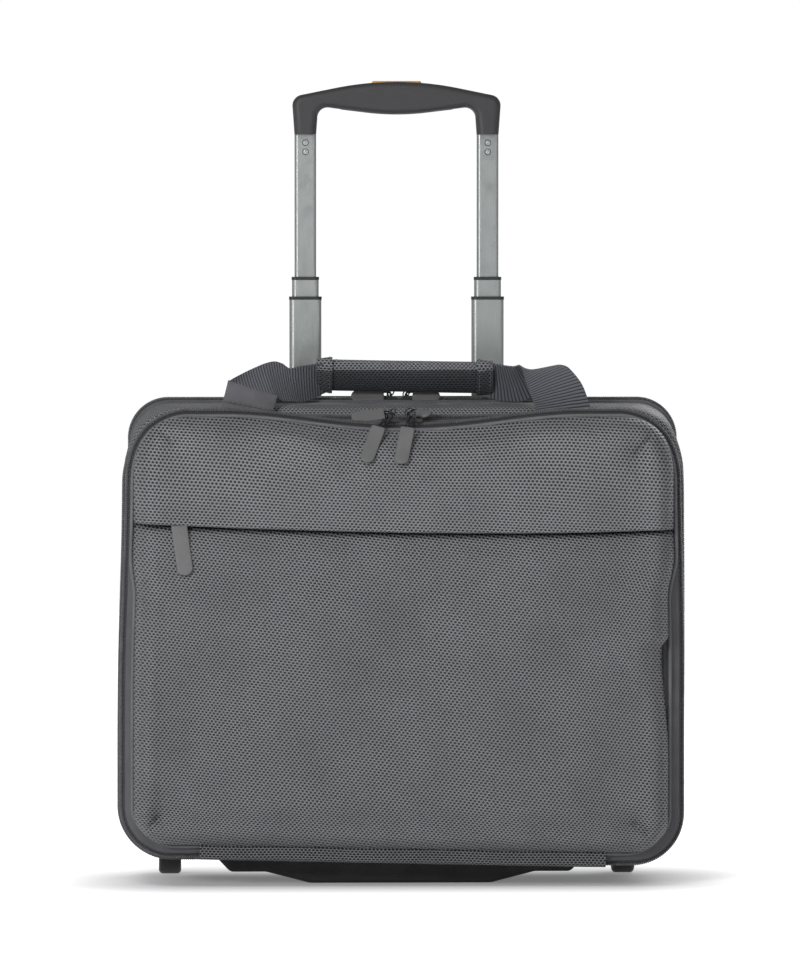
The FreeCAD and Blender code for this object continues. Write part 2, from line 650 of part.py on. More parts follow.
def make_carrying_handle():
    """The padded wrap, the webbing from each end of it and the two patches that hold it."""
    wrap = new_body("handle_wrap")
    middle = tilted_section(wrap, "0", "wrap_width", "wrap_thickness", "wrap_y", "wrap_z",
                            "wrap_thickness/2 - wrap_rim")
    pad(wrap, middle, "wrap_length", middle=True)
    keep(wrap)
    patches = []
    for side, sign in (("left", "-"), ("right", "")):
        strap = new_body("handle_strap_" + side)
        foot = tilted_section(strap, sign + "strap_anchor_at", "strap_foot", "strap_thickness",
                              "anchor_y", "anchor_z")
        top = tilted_section(strap, sign + "(wrap_length/2 + lay_gap)", "strap_width",
                             "strap_thickness", "wrap_y", "wrap_z")
        loft(strap, "AdditiveLoft", foot, top)
        keep(strap)
        patch = new_body("handle_patch_" + side)
        profile = add_sketch(patch, "side", (sign + "strap_anchor_at", "main_y", "front_top"))
        low, high = "patch_setback", "patch_setback + patch_length"
        polygon(profile, [(y, "roof_slope*(%s) + %s" % (y, level))
                          for y, level in ((low, "lay_gap"), (high, "lay_gap"),
                                           (high, "lay_gap + patch_thickness"),
                                           (low, "lay_gap + patch_thickness"))])
        pad(patch, profile, "patch_width", middle=True)
        patches.append(patch)
    keep(group("handle_patches", patches))


# --- wheels, housings and skid --------------------------------------------------------------

def make_skid():
    """The stepped plastic foot that the case stands on at the front."""
    body = new_body("skid_foot")
    profile = add_sketch(body, "front", ("0", "main_y + skid_setback", "0"))
    right = [("skid_flat", "0", "skid_sweep"), ("skid_shoulder", "skid_step", "skid_bend"),
             ("skid_toe", "skid_step", "skid_corner"), ("skid_half", "base_height - lay_gap")]
    left = [("-" + corner[0],) + corner[1:] for corner in reversed(right)]
    polygon(profile, left + right)
    pad(body, profile, "skid_depth", backwards=True)
    fillet(body, "skid_round", lambda e: (lies(e, "Y", "main_y + skid_setback")
                                          or lies(e, "Y", "main_y + skid_setback + skid_depth"))
           and not lies(e, "Z", "base_height - lay_gap"))
    return keep(body)


def make_wheels():
    """A housing with its well, a tyre, a hub and an axle on each side."""
    axles = []
    for side, sign in (("left", "-"), ("right", "")):
        at = sign + "wheel_at"
        housing = new_body("wheel_housing_" + side)
        block = add_sketch(housing, "front", ("0", "rear_y + housing_setback", "0"))
        polygon(block, [(sign + "housing_inner", "base_height"),
                        (sign + "housing_outer", "base_height", "housing_sweep"),
                        (sign + "housing_outer", "housing_top"),
                        (sign + "housing_inner", "housing_top", "housing_round")])
        pad(housing, block, "rear_depth - housing_setback + housing_back", backwards=True)
        well = add_sketch(housing, "side", (at, "axle_y", "axle_z"))
        circle(well, "0", "0", "wheel_radius + well_clear")
        pocket(housing, well, "wheel_width + 2*side_clear", middle=True)
        bore = add_sketch(housing, "side", (at, "axle_y", "axle_z"))
        circle(bore, "0", "0", "axle_radius + running_clear")
        pocket(housing, bore, "wheel_width + 2*side_clear + 2*bore_depth", middle=True)
        keep(housing)

        tyre = new_body("tyre_" + side)
        ring = add_sketch(tyre, "side", (at, "axle_y", "axle_z"))
        circle(ring, "0", "0", "wheel_radius")
        circle(ring, "0", "0", "hub_radius")
        pad(tyre, ring, "wheel_width", middle=True)
        fillet(tyre, "tyre_round", lambda e: e.Length > 2 * math.pi * value("hub_radius") + 1)
        keep(tyre)

        hub = new_body("hub_" + side)
        disc = add_sketch(hub, "side", (at, "axle_y", "axle_z"))
        circle(disc, "0", "0", "hub_radius - running_clear")
        circle(disc, "0", "0", "axle_radius + running_clear")
        pad(hub, disc, "hub_width", middle=True)
        holes = add_sketch(hub, "side", (at, "axle_y", "axle_z"))
        holes_round = int(value("hub_holes"))
        for turn in range(holes_round):
            angle = "%s" % (90 + 360 / holes_round * turn)
            circle(holes, "hub_hole_at*cos(%s)" % angle, "hub_hole_at*sin(%s)" % angle,
                   "hub_hole_radius")
        pocket(hub, holes, "hub_width + 2*overcut", middle=True)
        keep(hub)

        span = "(wheel_width/2 + side_clear + axle_reach)"
        axles.append(rod("axle_" + side, "axle_radius", ("%s - %s" % (at, span), "axle_y",
                                                         "axle_z"), "2*" + span, "x"))
    keep(group("axles", axles))


# --- pull handle ----------------------------------------------------------------------------

def mirrored(thing):
    """The same sub-part on the left side."""
    other = doc.addObject("Part::Mirroring", thing.Label + "_left")
    other.Source = thing
    other.Normal = Vector(1, 0, 0)
    return other


def both_sides(label, pieces):
    return keep(group(label, pieces + [mirrored(piece) for piece in pieces]))


def tube(name, width, depth, wall, corner, low, high):
    """The right tube of one stage of the handle."""
    body = new_body(name)
    section = add_sketch(body, "top", ("tube_spacing/2", "tube_y", low))
    rounded_rectangle(section, width, depth, corner)
    rounded_rectangle(section, "%s - 2*%s" % (width, wall), "%s - 2*%s" % (depth, wall),
                      "%s - %s" % (corner, wall))
    pad(body, section, "(%s) - (%s)" % (high, low))
    return body


def stacked(name, layers, bore=None):
    """A plug in the right tubes' line made of layers (width, depth, corner, low, high), with a
    hole through it the shape of bore (width, depth, corner)."""
    body = new_body(name)
    for width, depth, corner, low, high in layers:
        section = add_sketch(body, "top", ("tube_spacing/2", "tube_y", low))
        rounded_rectangle(section, width, depth, corner)
        pad(body, section, "(%s) - (%s)" % (high, low))
    if bore:
        section = add_sketch(body, "top", ("tube_spacing/2", "tube_y", layers[0][3]))
        rounded_rectangle(section, *bore)
        pocket(body, section, "through", backwards=True)
    return body


def collar(name, outer, wall, inner, top):
    """The plastic ring on a tube's top end, with a skirt down inside it round the next tube."""
    width, depth, corner = outer
    cap = ("%s + 2*collar_proud" % width, "%s + 2*collar_proud" % depth, corner)
    skirt = ["%s - 2*%s - 2*running_clear" % (size, wall) for size in (width, depth)]
    return stacked(name, [
        (skirt[0], skirt[1], "%s - %s" % (corner, wall), top + " - skirt_depth", top + " + skirt_bite"),
        cap + (top + " + running_clear", top + " + collar_height")],
        ("%s + 2*slide_clear" % inner[0], "%s + 2*slide_clear" % inner[1], inner[2]))


def foot_guide(name, around, wall_around, own, wall, bottom):
    """The plastic block in a tube's lower end, whose flange slides in the tube around it."""
    flange = ["%s - 2*%s - 2*slide_clear" % (size, wall_around) for size in around[:2]]
    plug = ["%s - 2*%s - 2*running_clear" % (size, wall) for size in own[:2]]
    return stacked(name, [
        (flange[0], flange[1], "%s - %s" % (around[2], wall_around),
         bottom + " - guide_flange", bottom + " - running_clear"),
        (plug[0], plug[1], "%s - %s" % (own[2], wall), bottom + " - guide_flange",
         bottom + " + guide_spigot")])


OUTER = ("outer_w", "outer_d", "tube_round")
FIRST = ("first_w", "first_d", "first_round")
SECOND = ("second_w", "second_d", "second_round")
THIRD = ("third_w", "third_d", "third_round")


def make_fixed_channel():
    """The hidden outer tubes, the board behind them, the foot bracket and the top bezel."""
    both_sides("outer_tubes", [tube("outer_tube", "outer_w", "outer_d", "wall_outer",
                                    "tube_round", "outer_foot", "bezel_floor - running_clear")])
    board_back = "back_y - fabric - sewn_gap/2"
    keep(box("back_board", ("-board_half", board_back + " - board_thickness", "board_foot"),
             ("board_half", board_back, "bezel_floor - board_drop")))
    bracket = new_body("foot_bracket")
    base = "base_height + fabric + running_clear"
    bar = add_sketch(bracket, "top", ("0", "tube_y", base))
    rounded_rectangle(bar, "tube_spacing + outer_w + 2*bracket_side",
                      "outer_d + 2*bracket_front", "tube_round")
    pad(bracket, bar, "bracket_height")
    for sign in ("-", ""):
        socket = add_sketch(bracket, "top", (sign + "tube_spacing/2", "tube_y",
                                             "outer_foot - running_clear"))
        rounded_rectangle(socket, "outer_w + 2*running_clear", "outer_d + 2*running_clear",
                          "tube_round")
        pocket(bracket, socket, "through", backwards=True)
    keep(bracket)

    bezel = new_body("top_bezel")
    cup = add_sketch(bezel, "top", ("0", "tube_y", "bezel_floor"))
    rounded_rectangle(cup, "2*(cup_half + bezel_wall)", "2*cup_depth", "tube_round")
    pad(bezel, cup, "rear_top - bezel_floor + sewn_gap + bezel_lip")
    lip = add_sketch(bezel, "top", ("0", "tube_y", "rear_top + sewn_gap/2"))
    rounded_rectangle(lip, "2*(cup_half + bezel_wall + lip_side)", "2*(cup_depth + lip_front)",
                      "lip_round")
    pad(bezel, lip, "bezel_lip + sewn_gap/2")
    hollow = add_sketch(bezel, "top", ("0", "tube_y", "bezel_floor + cup_base"))
    rounded_rectangle(hollow, "2*cup_half", "2*(cup_depth - bezel_wall)", "cup_round")
    pocket(bezel, hollow, "through", backwards=True)
    for sign in ("-", ""):
        socket = add_sketch(bezel, "top", (sign + "tube_spacing/2", "tube_y", "bezel_floor"))
        rounded_rectangle(socket, "outer_w + 2*socket_wall", "outer_d + 2*socket_wall",
                          "tube_round + socket_wall")
        rounded_rectangle(socket, "outer_w + 2*running_clear", "outer_d + 2*running_clear",
                          "tube_round")
        pad(bezel, socket, "socket_depth", backwards=True)
        hole = add_sketch(bezel, "top", (sign + "tube_spacing/2", "tube_y",
                                         "bezel_floor + socket_step"))
        rounded_rectangle(hole, "first_w + 2*slide_clear", "first_d + 2*slide_clear",
                          "first_round")
        pocket(bezel, hole, "cup_base + socket_step")
    keep(bezel)


def make_stages():
    """The three sliding stages: tubes, the collars on their tops and the guides at their feet."""
    rows = (("first", FIRST, SECOND, OUTER, "wall_outer", "first_top", "first_bottom"),
            ("second", SECOND, THIRD, FIRST, "wall_inner", "second_top", "second_bottom"))
    for name, own, inner, around, wall_around, top, bottom in rows:
        both_sides(name + "_stage_tubes",
                   [tube(name + "_tube", own[0], own[1], "wall_inner", own[2], bottom, top)])
        both_sides(name + "_stage_fittings",
                   [collar(name + "_collar", own, "wall_inner", inner, top),
                    foot_guide(name + "_guide", around, wall_around, own, "wall_inner", bottom)])
    third = tube("third_tube", THIRD[0], THIRD[1], "wall_inner", THIRD[2], "third_bottom",
                 "grip_base - running_clear")
    holes = add_sketch(third, "front", ("tube_spacing/2", "tube_y", "grip_base"))
    for drop in ("rivet_drop", "rivet_drop + rivet_pitch"):
        circle(holes, "0", "-(%s)" % drop, "rivet_shank + running_clear")
    pocket(third, holes, "third_d + 2*overcut", middle=True)
    both_sides("third_stage_tubes", [third])
    both_sides("third_stage_fittings", [foot_guide("third_guide", SECOND, "wall_inner", THIRD,
                                                   "wall_inner", "third_bottom")])


def grip_outline(sketch):
    """The grip from the front: two feet on the tubes, sloping shoulders and a shallow crown. The
    sketch's origin lies midway between the feet."""
    outer = "(tube_spacing/2 + third_w/2)"
    inner = "(tube_spacing/2 - third_w/2)"
    right = [(inner, "0"), (outer, "0"),
             ("%s + grip_flare" % outer, "grip_shoulder", "grip_corner")]
    left = [("-" + outer + " - grip_flare", "grip_shoulder", "grip_corner"), ("-" + outer, "0"),
            ("-" + inner, "0")]
    polygon(sketch, right + [("0", "grip_crown", "grip_top_sweep")] + left + [
        ("armpit_inset - " + inner, "grip_armpit", "grip_corner"),
        ("0", "grip_belly", "grip_hand_sweep"),
        (inner + " - armpit_inset", "grip_armpit", "grip_corner")])


def make_grip():
    """The moulded grip, its lower cover, the release button on its rods, the spring under them
    and the rivets through the tubes' tops."""
    grip = new_body("grip_body")
    outline = add_sketch(grip, "front", ("0", "tube_y", "grip_base"))
    grip_outline(outline)
    pad(grip, outline, "grip_depth", middle=True)
    fillet(grip, "grip_round", lambda e: (lies(e, "Y", "tube_y - grip_depth/2")
                                          or lies(e, "Y", "tube_y + grip_depth/2"))
           and not lies(e, "Z", "grip_base"))
    for sign in ("-", ""):
        plug = add_sketch(grip, "top", (sign + "tube_spacing/2", "tube_y",
                                        "grip_base - spigot_depth"))
        rounded_rectangle(plug, "third_w - 2*wall_inner - 2*running_clear",
                          "third_d - 2*wall_inner - 2*running_clear",
                          "third_round - wall_inner")
        pad(grip, plug, "spigot_depth + overcut")
    low, high = "bar_level - button_travel - rod_clear", "bar_level + bar_height + rod_clear"
    channel = add_sketch(grip, "front", ("0", "tube_y", "grip_base"))
    rectangle(channel, "-tube_spacing/2 - rod_radius - bar_clear", low,
              "tube_spacing/2 + rod_radius + bar_clear", high)
    pocket(grip, channel, "bar_width + 2*rod_clear", middle=True)
    well = add_sketch(grip, "top", ("0", "tube_y", "grip_base + %s" % low))
    rounded_rectangle(well, "button_length + 2*button_clear", "button_width + 2*button_clear",
                      "button_well_round")
    pocket(grip, well, "through", backwards=True)
    recess = add_sketch(grip, "top", ("0", "tube_y", "grip_base + cover_top + running_clear"))
    rounded_rectangle(recess, "2*cover_half + 2*cover_clear", "cover_width + 2*cover_clear",
                      "cover_corner")
    pocket(grip, recess, "cover_top - cover_end")
    bores = add_sketch(grip, "top", ("0", "tube_y", "grip_base + " + high))
    circle(bores, "-tube_spacing/2", "0", "rod_radius + rod_clear")
    circle(bores, "tube_spacing/2", "0", "rod_radius + rod_clear")
    pocket(grip, bores, "through")
    pins = add_sketch(grip, "front", ("0", "tube_y", "grip_base"))
    for sign in ("-", ""):
        for drop in ("rivet_drop", "rivet_drop + rivet_pitch"):
            circle(pins, sign + "tube_spacing/2", "-(%s)" % drop, "rivet_shank + running_clear")
    pocket(grip, pins, "third_d + 2*overcut", middle=True)
    keep(grip)

    cover = new_body("grip_cover")
    shape = add_sketch(cover, "front", ("0", "tube_y", "grip_base"))
    polygon(shape, [("cover_half", "cover_top"), ("-cover_half", "cover_top"),
                    ("-cover_half", "grip_armpit - cover_end"),
                    ("0", "grip_belly + cover_lap", "grip_hand_sweep"),
                    ("cover_half", "grip_armpit - cover_end")])
    pad(cover, shape, "cover_width", middle=True)
    seat = add_sketch(cover, "top", ("0", "tube_y", "grip_base + cover_top"))
    circle(seat, "0", "0", "spring_radius + spring_wire + spring_clear")
    pocket(cover, seat, "spring_seat")
    keep(cover)

    button = new_body("release_button")
    face = add_sketch(button, "top", ("0", "tube_y", "grip_base + bar_level + bar_height"))
    rounded_rectangle(face, "button_length", "button_width", "button_round")
    pad(button, face, "button_top - bar_level - bar_height")
    fillet(button, "button_edge", lambda e: lies(e, "Z", "grip_base + button_top"))
    keep(button)

    bar = box("release_bar", ("-tube_spacing/2", "tube_y - bar_width/2", "grip_base + bar_level"),
              ("tube_spacing/2", "tube_y + bar_width/2",
               "grip_base + bar_level + bar_height - running_clear"))
    foot = "third_bottom + guide_spigot + rod_gap"
    rods = [rod("release_rod_" + side, "rod_radius", (sign + "tube_spacing/2", "tube_y", foot),
                "grip_base + bar_level + bar_height - running_clear - (%s)" % foot)
            for side, sign in (("left", "-"), ("right", ""))]
    keep(group("release_rods", [bar] + rods, "MultiFuse"))

    spring = doc.addObject("Part::Feature", "button_spring")
    spring.Label = "button_spring"
    wire, seat_level = value("spring_wire"), value("cover_top - spring_seat")
    slack = value("spring_slack")
    rise = value("bar_level") - seat_level - 2 * (wire + slack)
    helix = Part.makeHelix(rise / 3, rise, value("spring_radius"))
    start = Part.Wire(Part.makeCircle(wire, Vector(value("spring_radius"), 0, 0),
                                      Vector(0, 1, 0)))
    spring.Shape = Part.Wire(helix.Edges).makePipeShell([start], True, True)
    spring.Placement = Placement(Vector(0, value("tube_y"), value("grip_base") + seat_level
                                        + wire + slack), Rotation())
    keep(spring)

    rivets = []
    face = "(third_d/2 + running_clear)"
    for row, drop in enumerate(("rivet_drop", "rivet_drop + rivet_pitch")):
        for front in (True, False):
            at = ["tube_spacing/2", "tube_y", "grip_base - (%s)" % drop]
            if front:
                head_y = "tube_y - %s - rivet_head" % face
                shank_y = "tube_y - %s" % face
            else:
                head_y = "tube_y + %s" % face
                shank_y = "tube_y + %s - rivet_depth" % face
            name = "rivet_%d_%s" % (row, "front" if front else "back")
            head = rod(name + "_head", "rivet_radius", (at[0], head_y, at[2]), "rivet_head", "y")
            shank = rod(name + "_shank", "rivet_shank", (at[0], shank_y, at[2]), "rivet_depth",
                        "y")
            rivets.append(group(name, [head, shank], "MultiFuse"))
    both_sides("rivets", rivets)


# --- build ----------------------------------------------------------------------------------

fill_sheet()
make_lid()
front_panel("upper_front_panel", above=True)
front_panel("front_pocket_panel", above=False)
make_pocket_zip()
make_section_shells()
zip_half("front_zip_lid_half", FRONT_RING, "lid_end", toward_front=True, hinge=True)
zip_half("front_zip_case_half", FRONT_RING, "parting_one", toward_front=False, hinge=False)
zip_half("middle_zip_front_half", FRONT_RING, "document_end", toward_front=True, hinge=True)
zip_half("middle_zip_back_half", FRONT_RING, "parting_two", toward_front=False, hinge=False)
zip_half("rear_zip_front_half", REAR_RING, "main_end", toward_front=True, hinge=True)
zip_half("rear_zip_back_half", REAR_RING, "parting_three", toward_front=False, hinge=False)
hinge_strip("front_hinge_strip", "lid_end")
hinge_strip("middle_hinge_strip", "document_end")
hinge_strip("rear_hinge_strip", "main_end")
make_zip_pulls()
make_carrying_handle()
make_skid()
make_wheels()
make_fixed_channel()
make_stages()
make_grip()

doc.recompute()
os.makedirs("parts", exist_ok=True)
for thing in SUBPARTS:
    faults = [state for state in thing.State if state in ("Invalid", "Error")]
    if faults or thing.Shape.isNull() or not thing.Shape.isValid():
        raise RuntimeError("%s is not a sound shape: %s" % (thing.Label, faults))
    print(thing.Label, len(thing.Shape.Solids), round(thing.Shape.Volume), thing.Shape.BoundBox)
    thing.Shape.exportStep("parts/%s.step" % thing.Label)
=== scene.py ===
import math

import bmesh
import bpy
import numpy as np
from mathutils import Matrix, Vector


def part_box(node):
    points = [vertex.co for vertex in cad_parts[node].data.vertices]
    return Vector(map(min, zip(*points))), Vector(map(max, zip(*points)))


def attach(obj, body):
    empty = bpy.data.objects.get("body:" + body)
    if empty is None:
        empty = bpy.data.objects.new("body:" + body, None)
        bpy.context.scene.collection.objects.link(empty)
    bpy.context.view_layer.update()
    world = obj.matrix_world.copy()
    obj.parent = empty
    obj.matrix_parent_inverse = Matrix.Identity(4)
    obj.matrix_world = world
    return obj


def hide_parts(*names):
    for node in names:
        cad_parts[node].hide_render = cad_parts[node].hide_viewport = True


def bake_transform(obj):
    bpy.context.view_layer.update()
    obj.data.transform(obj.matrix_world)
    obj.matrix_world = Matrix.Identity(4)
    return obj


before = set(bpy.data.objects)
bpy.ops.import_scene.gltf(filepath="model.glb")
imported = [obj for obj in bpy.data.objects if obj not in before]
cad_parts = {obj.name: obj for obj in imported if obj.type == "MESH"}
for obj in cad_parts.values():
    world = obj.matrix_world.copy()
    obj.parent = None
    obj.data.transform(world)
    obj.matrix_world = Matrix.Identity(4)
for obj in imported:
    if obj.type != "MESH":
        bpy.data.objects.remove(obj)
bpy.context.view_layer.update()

# The looks of a rolling laptop case, in metres: +Z is up, the lid faces -Y, and the floor is z = 0.
# Soft parts are grids worked out here. Moulded and metal parts keep their own shapes, and get finishes.

FRONT_LOW, FRONT_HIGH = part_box("lid_shell")
REAR_LOW, REAR_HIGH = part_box("rear_shell")
MAIN_LOW, MAIN_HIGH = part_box("main_shell")
TRAY_LOW, TRAY_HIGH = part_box("document_shell")
BASE = FRONT_LOW.z
FABRIC = 0.003
LID_EDGE = FRONT_HIGH.y
FRONT_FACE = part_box("front_pocket_panel")[0].y
SHARP_EDGE = math.radians(50)


# --- arithmetic ------------------------------------------------------------------------------

def smooth(t):
    """0 below 0, 1 above 1, and 3t^2 - 2t^3 between."""
    t = np.clip(t, 0.0, 1.0)
    return t * t * (3 - 2 * t)


def mix(a, b, t):
    return a + (b - a) * t


def bump(x, middle, spread):
    """A bell of height 1: exp(-((x - middle)/spread)^2)."""
    return np.exp(-(((x - middle) / spread) ** 2))


def curve_through(corners, count):
    """count points on the smooth curve through corners: Catmull-Rom, whose tangent at each corner is
    half the step between its neighbours, walked at even lengths."""
    corners = np.asarray(corners, float)
    ends = np.vstack([2 * corners[0] - corners[1], corners, 2 * corners[-1] - corners[-2]])
    t = np.linspace(0, 1, 24, endpoint=False)[None, :, None]
    a, b, c, d = (ends[k:len(ends) - 3 + k, None, :] for k in range(4))
    runs = 0.5 * (2 * b + (c - a) * t + (2 * a - 5 * b + 4 * c - d) * t ** 2
                  + (3 * b - a - 3 * c + d) * t ** 3)
    return even(np.vstack([runs.reshape(-1, corners.shape[1]), corners[-1]]), count)


def even(line, count, closed=False):
    """count points at equal distances along a line of points."""
    if closed:
        line = np.vstack([line, line[:1]])
    step = np.linalg.norm(np.diff(line, axis=0), axis=1)
    reach = np.concatenate([[0], np.cumsum(step)])
    want = np.linspace(0, reach[-1], count + 1 if closed else count)
    if closed:
        want = want[:-1]
    return np.stack([np.interp(want, reach, line[:, k]) for k in range(line.shape[1])], -1)


def travelled(line):
    """The distance walked along a line of points up to each of them."""
    step = np.linalg.norm(np.diff(line, axis=0), axis=-1)
    return np.concatenate([[0], np.cumsum(step)])


# --- meshes ----------------------------------------------------------------------------------

def patch(points, uv=None, closed=(False, False), turned=False, finish=0):
    """A grid of quads over points[row, column], as corners, faces, face-corner UVs and finishes.
    Without uv, the UVs are the lengths walked along the middle column and the middle row."""
    rows, columns = points.shape[:2]
    if uv is None:
        down, along = points[:, columns // 2], points[rows // 2]
        if closed[0]:
            down = np.vstack([down, down[:1]])
        if closed[1]:
            along = np.vstack([along, along[:1]])
        v, u = np.meshgrid(travelled(down), travelled(along), indexing="ij")
        uv = np.stack([u, v], -1)
    r, c = np.meshgrid(np.arange(rows if closed[0] else rows - 1),
                       np.arange(columns if closed[1] else columns - 1), indexing="ij")
    below, beside = (r + 1) % rows, (c + 1) % columns
    faces = np.stack([r * columns + c, r * columns + beside, below * columns + beside,
                      below * columns + c], -1).reshape(-1, 4)
    places = np.stack([uv[r, c], uv[r, c + 1], uv[r + 1, c + 1], uv[r + 1, c]], -2).reshape(-1, 4, 2)
    if turned:
        faces, places = faces[:, ::-1], places[:, ::-1]
    number = np.broadcast_to(np.asarray(finish), r.shape).reshape(-1)
    return points.reshape(-1, 3), faces, places, number


def build(name, patches, finishes, body=None, stands_for=(), weld=0.0):
    """One object from grids: welds corners closer than weld, and keeps edges over 50 degrees sharp."""
    start = np.cumsum([0] + [len(p[0]) for p in patches])[:-1]
    corners = np.concatenate([p[0] for p in patches])
    faces = np.concatenate([p[1] + s for p, s in zip(patches, start)])
    places = np.concatenate([p[2] for p in patches])
    numbers = np.concatenate([p[3] for p in patches])
    mesh = bpy.data.meshes.new(name)
    mesh.from_pydata(corners.tolist(), [], faces.tolist())
    layer = mesh.uv_layers.new(name="UVMap")
    layer.data.foreach_set("uv", places.astype(np.float32).ravel())
    mesh.polygons.foreach_set("material_index", numbers.astype(np.int32))
    mesh.polygons.foreach_set("use_smooth", np.ones(len(faces), bool))
    for material in finishes:
        mesh.materials.append(material)
    if weld:
        shape = bmesh.new()
        shape.from_mesh(mesh)
        bmesh.ops.remove_doubles(shape, verts=shape.verts, dist=weld)
        shape.to_mesh(mesh)
        shape.free()
    mesh.set_sharp_from_angle(angle=SHARP_EDGE)
    mesh.validate()
    thing = bpy.data.objects.new(name, mesh)
    bpy.context.scene.collection.objects.link(thing)
    if stands_for:
        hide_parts(*stands_for)
    if body:
        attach(thing, body)
    return thing


def edge_wall(face, back, turned=True):
    """The narrow wall that joins two grids of points all round their edges."""
    rims = [np.concatenate([grid[0], grid[1:-1, -1], grid[-1, ::-1], grid[-2:0:-1, 0]])
            for grid in (face, back)]
    return patch(np.stack(rims), closed=(False, True), turned=turned)


def carried(path, profile, beside, above, closed=False, finish=0):
    """A profile of (sideways, upward) points carried along a path with its own two directions."""
    points = (path[None] + profile[:, None, :1] * beside[None] + profile[:, None, 1:] * above[None])
    return patch(points, closed=(True, closed), finish=finish)


def oval(half_width, half_height, count):
    """An ellipse, walked anticlockwise."""
    a = np.linspace(0, 2 * np.pi, count, endpoint=False)
    return np.stack([half_width * np.cos(a), half_height * np.sin(a)], -1)


def disc_fan(ring, turned=False):
    """Closes a ring of points with a fan to its middle."""
    middle = np.broadcast_to(ring.mean(0), ring.shape)
    return patch(np.stack([ring, mix(ring, middle, 0.5), middle]), closed=(False, True), turned=turned)


def stitch_run(line, outward, length=0.0022, gap=0.0012, radius=0.00028, finish=0):
    """A row of sewn stitches along a line: short threads, each a little arch standing off the cloth.
    Height above the cloth is radius times the square root of 1 - s^2, with s from -1 to 1 along it."""
    count = max(2, int(travelled(line)[-1] / (length + gap)))
    middle = even(line, count)
    lift = even(outward, count)
    ahead = np.gradient(middle, axis=0)
    ahead /= np.linalg.norm(ahead, axis=1, keepdims=True) + 1e-12
    lift /= np.linalg.norm(lift, axis=1, keepdims=True) + 1e-12
    side = np.cross(lift, ahead)
    s = np.array([-1.0, -0.6, 0.0, 0.6, 1.0])
    arch = np.sqrt(1 - 0.96 * s ** 2)
    ring = oval(1.0, 1.0, 5)
    points = (middle[:, None, None] + s[None, :, None, None] * 0.5 * length * ahead[:, None, None]
              + arch[None, :, None, None] * radius * (ring[None, None, :, :1] * side[:, None, None]
              + (ring[None, None, :, 1:] + 0.35) * lift[:, None, None]))
    stitches, rows, columns = points.shape[:3]
    r, c = np.meshgrid(np.arange(rows - 1), np.arange(columns), indexing="ij")
    beside = (c + 1) % columns
    one = np.stack([r * columns + c, r * columns + beside, (r + 1) * columns + beside,
                    (r + 1) * columns + c], -1).reshape(-1, 4)[:, ::-1]
    faces = (one[None] + (np.arange(stitches) * rows * columns)[:, None, None]).reshape(-1, 4)
    places = np.zeros((len(faces), 4, 2))
    return points.reshape(-1, 3), faces, places, np.full(len(faces), finish)


# --- the case's outline ----------------------------------------------------------------------

CORNERS = np.array([[1, -1], [1, 1], [-1, 1], [-1, -1]])


def walk_outline(base, side, top, corner):
    """Stations round the outline from the middle of the base, right side first. Each is a share
    of the way between two places on corner arcs: (corner, angle, corner, angle, share)."""
    rows = []
    turn = np.linspace(0, 0.5 * np.pi, corner)
    steps = (side, top, side)
    half_base = np.linspace(0.5, 1, base // 2, endpoint=False)
    rows += [(3, 1.5 * np.pi, 0, -0.5 * np.pi, share) for share in half_base]
    for k in range(4):
        first = 0.5 * np.pi * (k - 1)
        rows += [(k, first + a, k, first + a, 0) for a in turn]
        if k < 3:
            share = np.linspace(0, 1, steps[k] + 2)[1:-1]
            rows += [(k, first + turn[-1], k + 1, first + turn[-1], s) for s in share]
    rows += [(3, 1.5 * np.pi, 0, -0.5 * np.pi, share) for share in np.linspace(0, 0.5, base // 2 + 1)[1:-1]]
    return np.array(rows)


STATIONS = walk_outline(60, 44, 60, 17)
FINE = walk_outline(240, 170, 240, 60)


def outline(depth, out, stations=STATIONS):
    """Points round the case at each depth y, stood off by out: a rounded rectangle whose width, top
    and corner radii run from the front's to the rear's along the main section."""
    depth, out = np.broadcast_arrays(np.asarray(depth, float), np.asarray(out, float))
    t = np.clip((depth - MAIN_LOW.y) / (MAIN_HIGH.y - MAIN_LOW.y), 0, 1)[:, None]
    half = mix(FRONT_HIGH.x, REAR_HIGH.x, t)
    top = mix(FRONT_HIGH.z, REAR_HIGH.z, t)
    out = out[:, None]

    def on_arc(corner, angle):
        corner = CORNERS[corner.astype(int)]
        radius = np.where(corner[:, 1] > 0, mix(0.047, 0.028, t), mix(0.038, 0.028, t))
        edge = np.where(corner[:, 1] > 0, top - radius, BASE + radius)
        reach = np.maximum(radius + out, 0.001)
        return (corner[:, 0] * (half - radius) + reach * np.cos(angle),
                edge + reach * np.sin(angle))

    ax, az = on_arc(stations[:, 0], stations[:, 1])
    bx, bz = on_arc(stations[:, 2], stations[:, 3])
    share = stations[:, 4]
    x, z = mix(ax, bx, share), mix(az, bz, share)
    return np.stack([x, np.broadcast_to(depth[:, None], x.shape), z], -1)


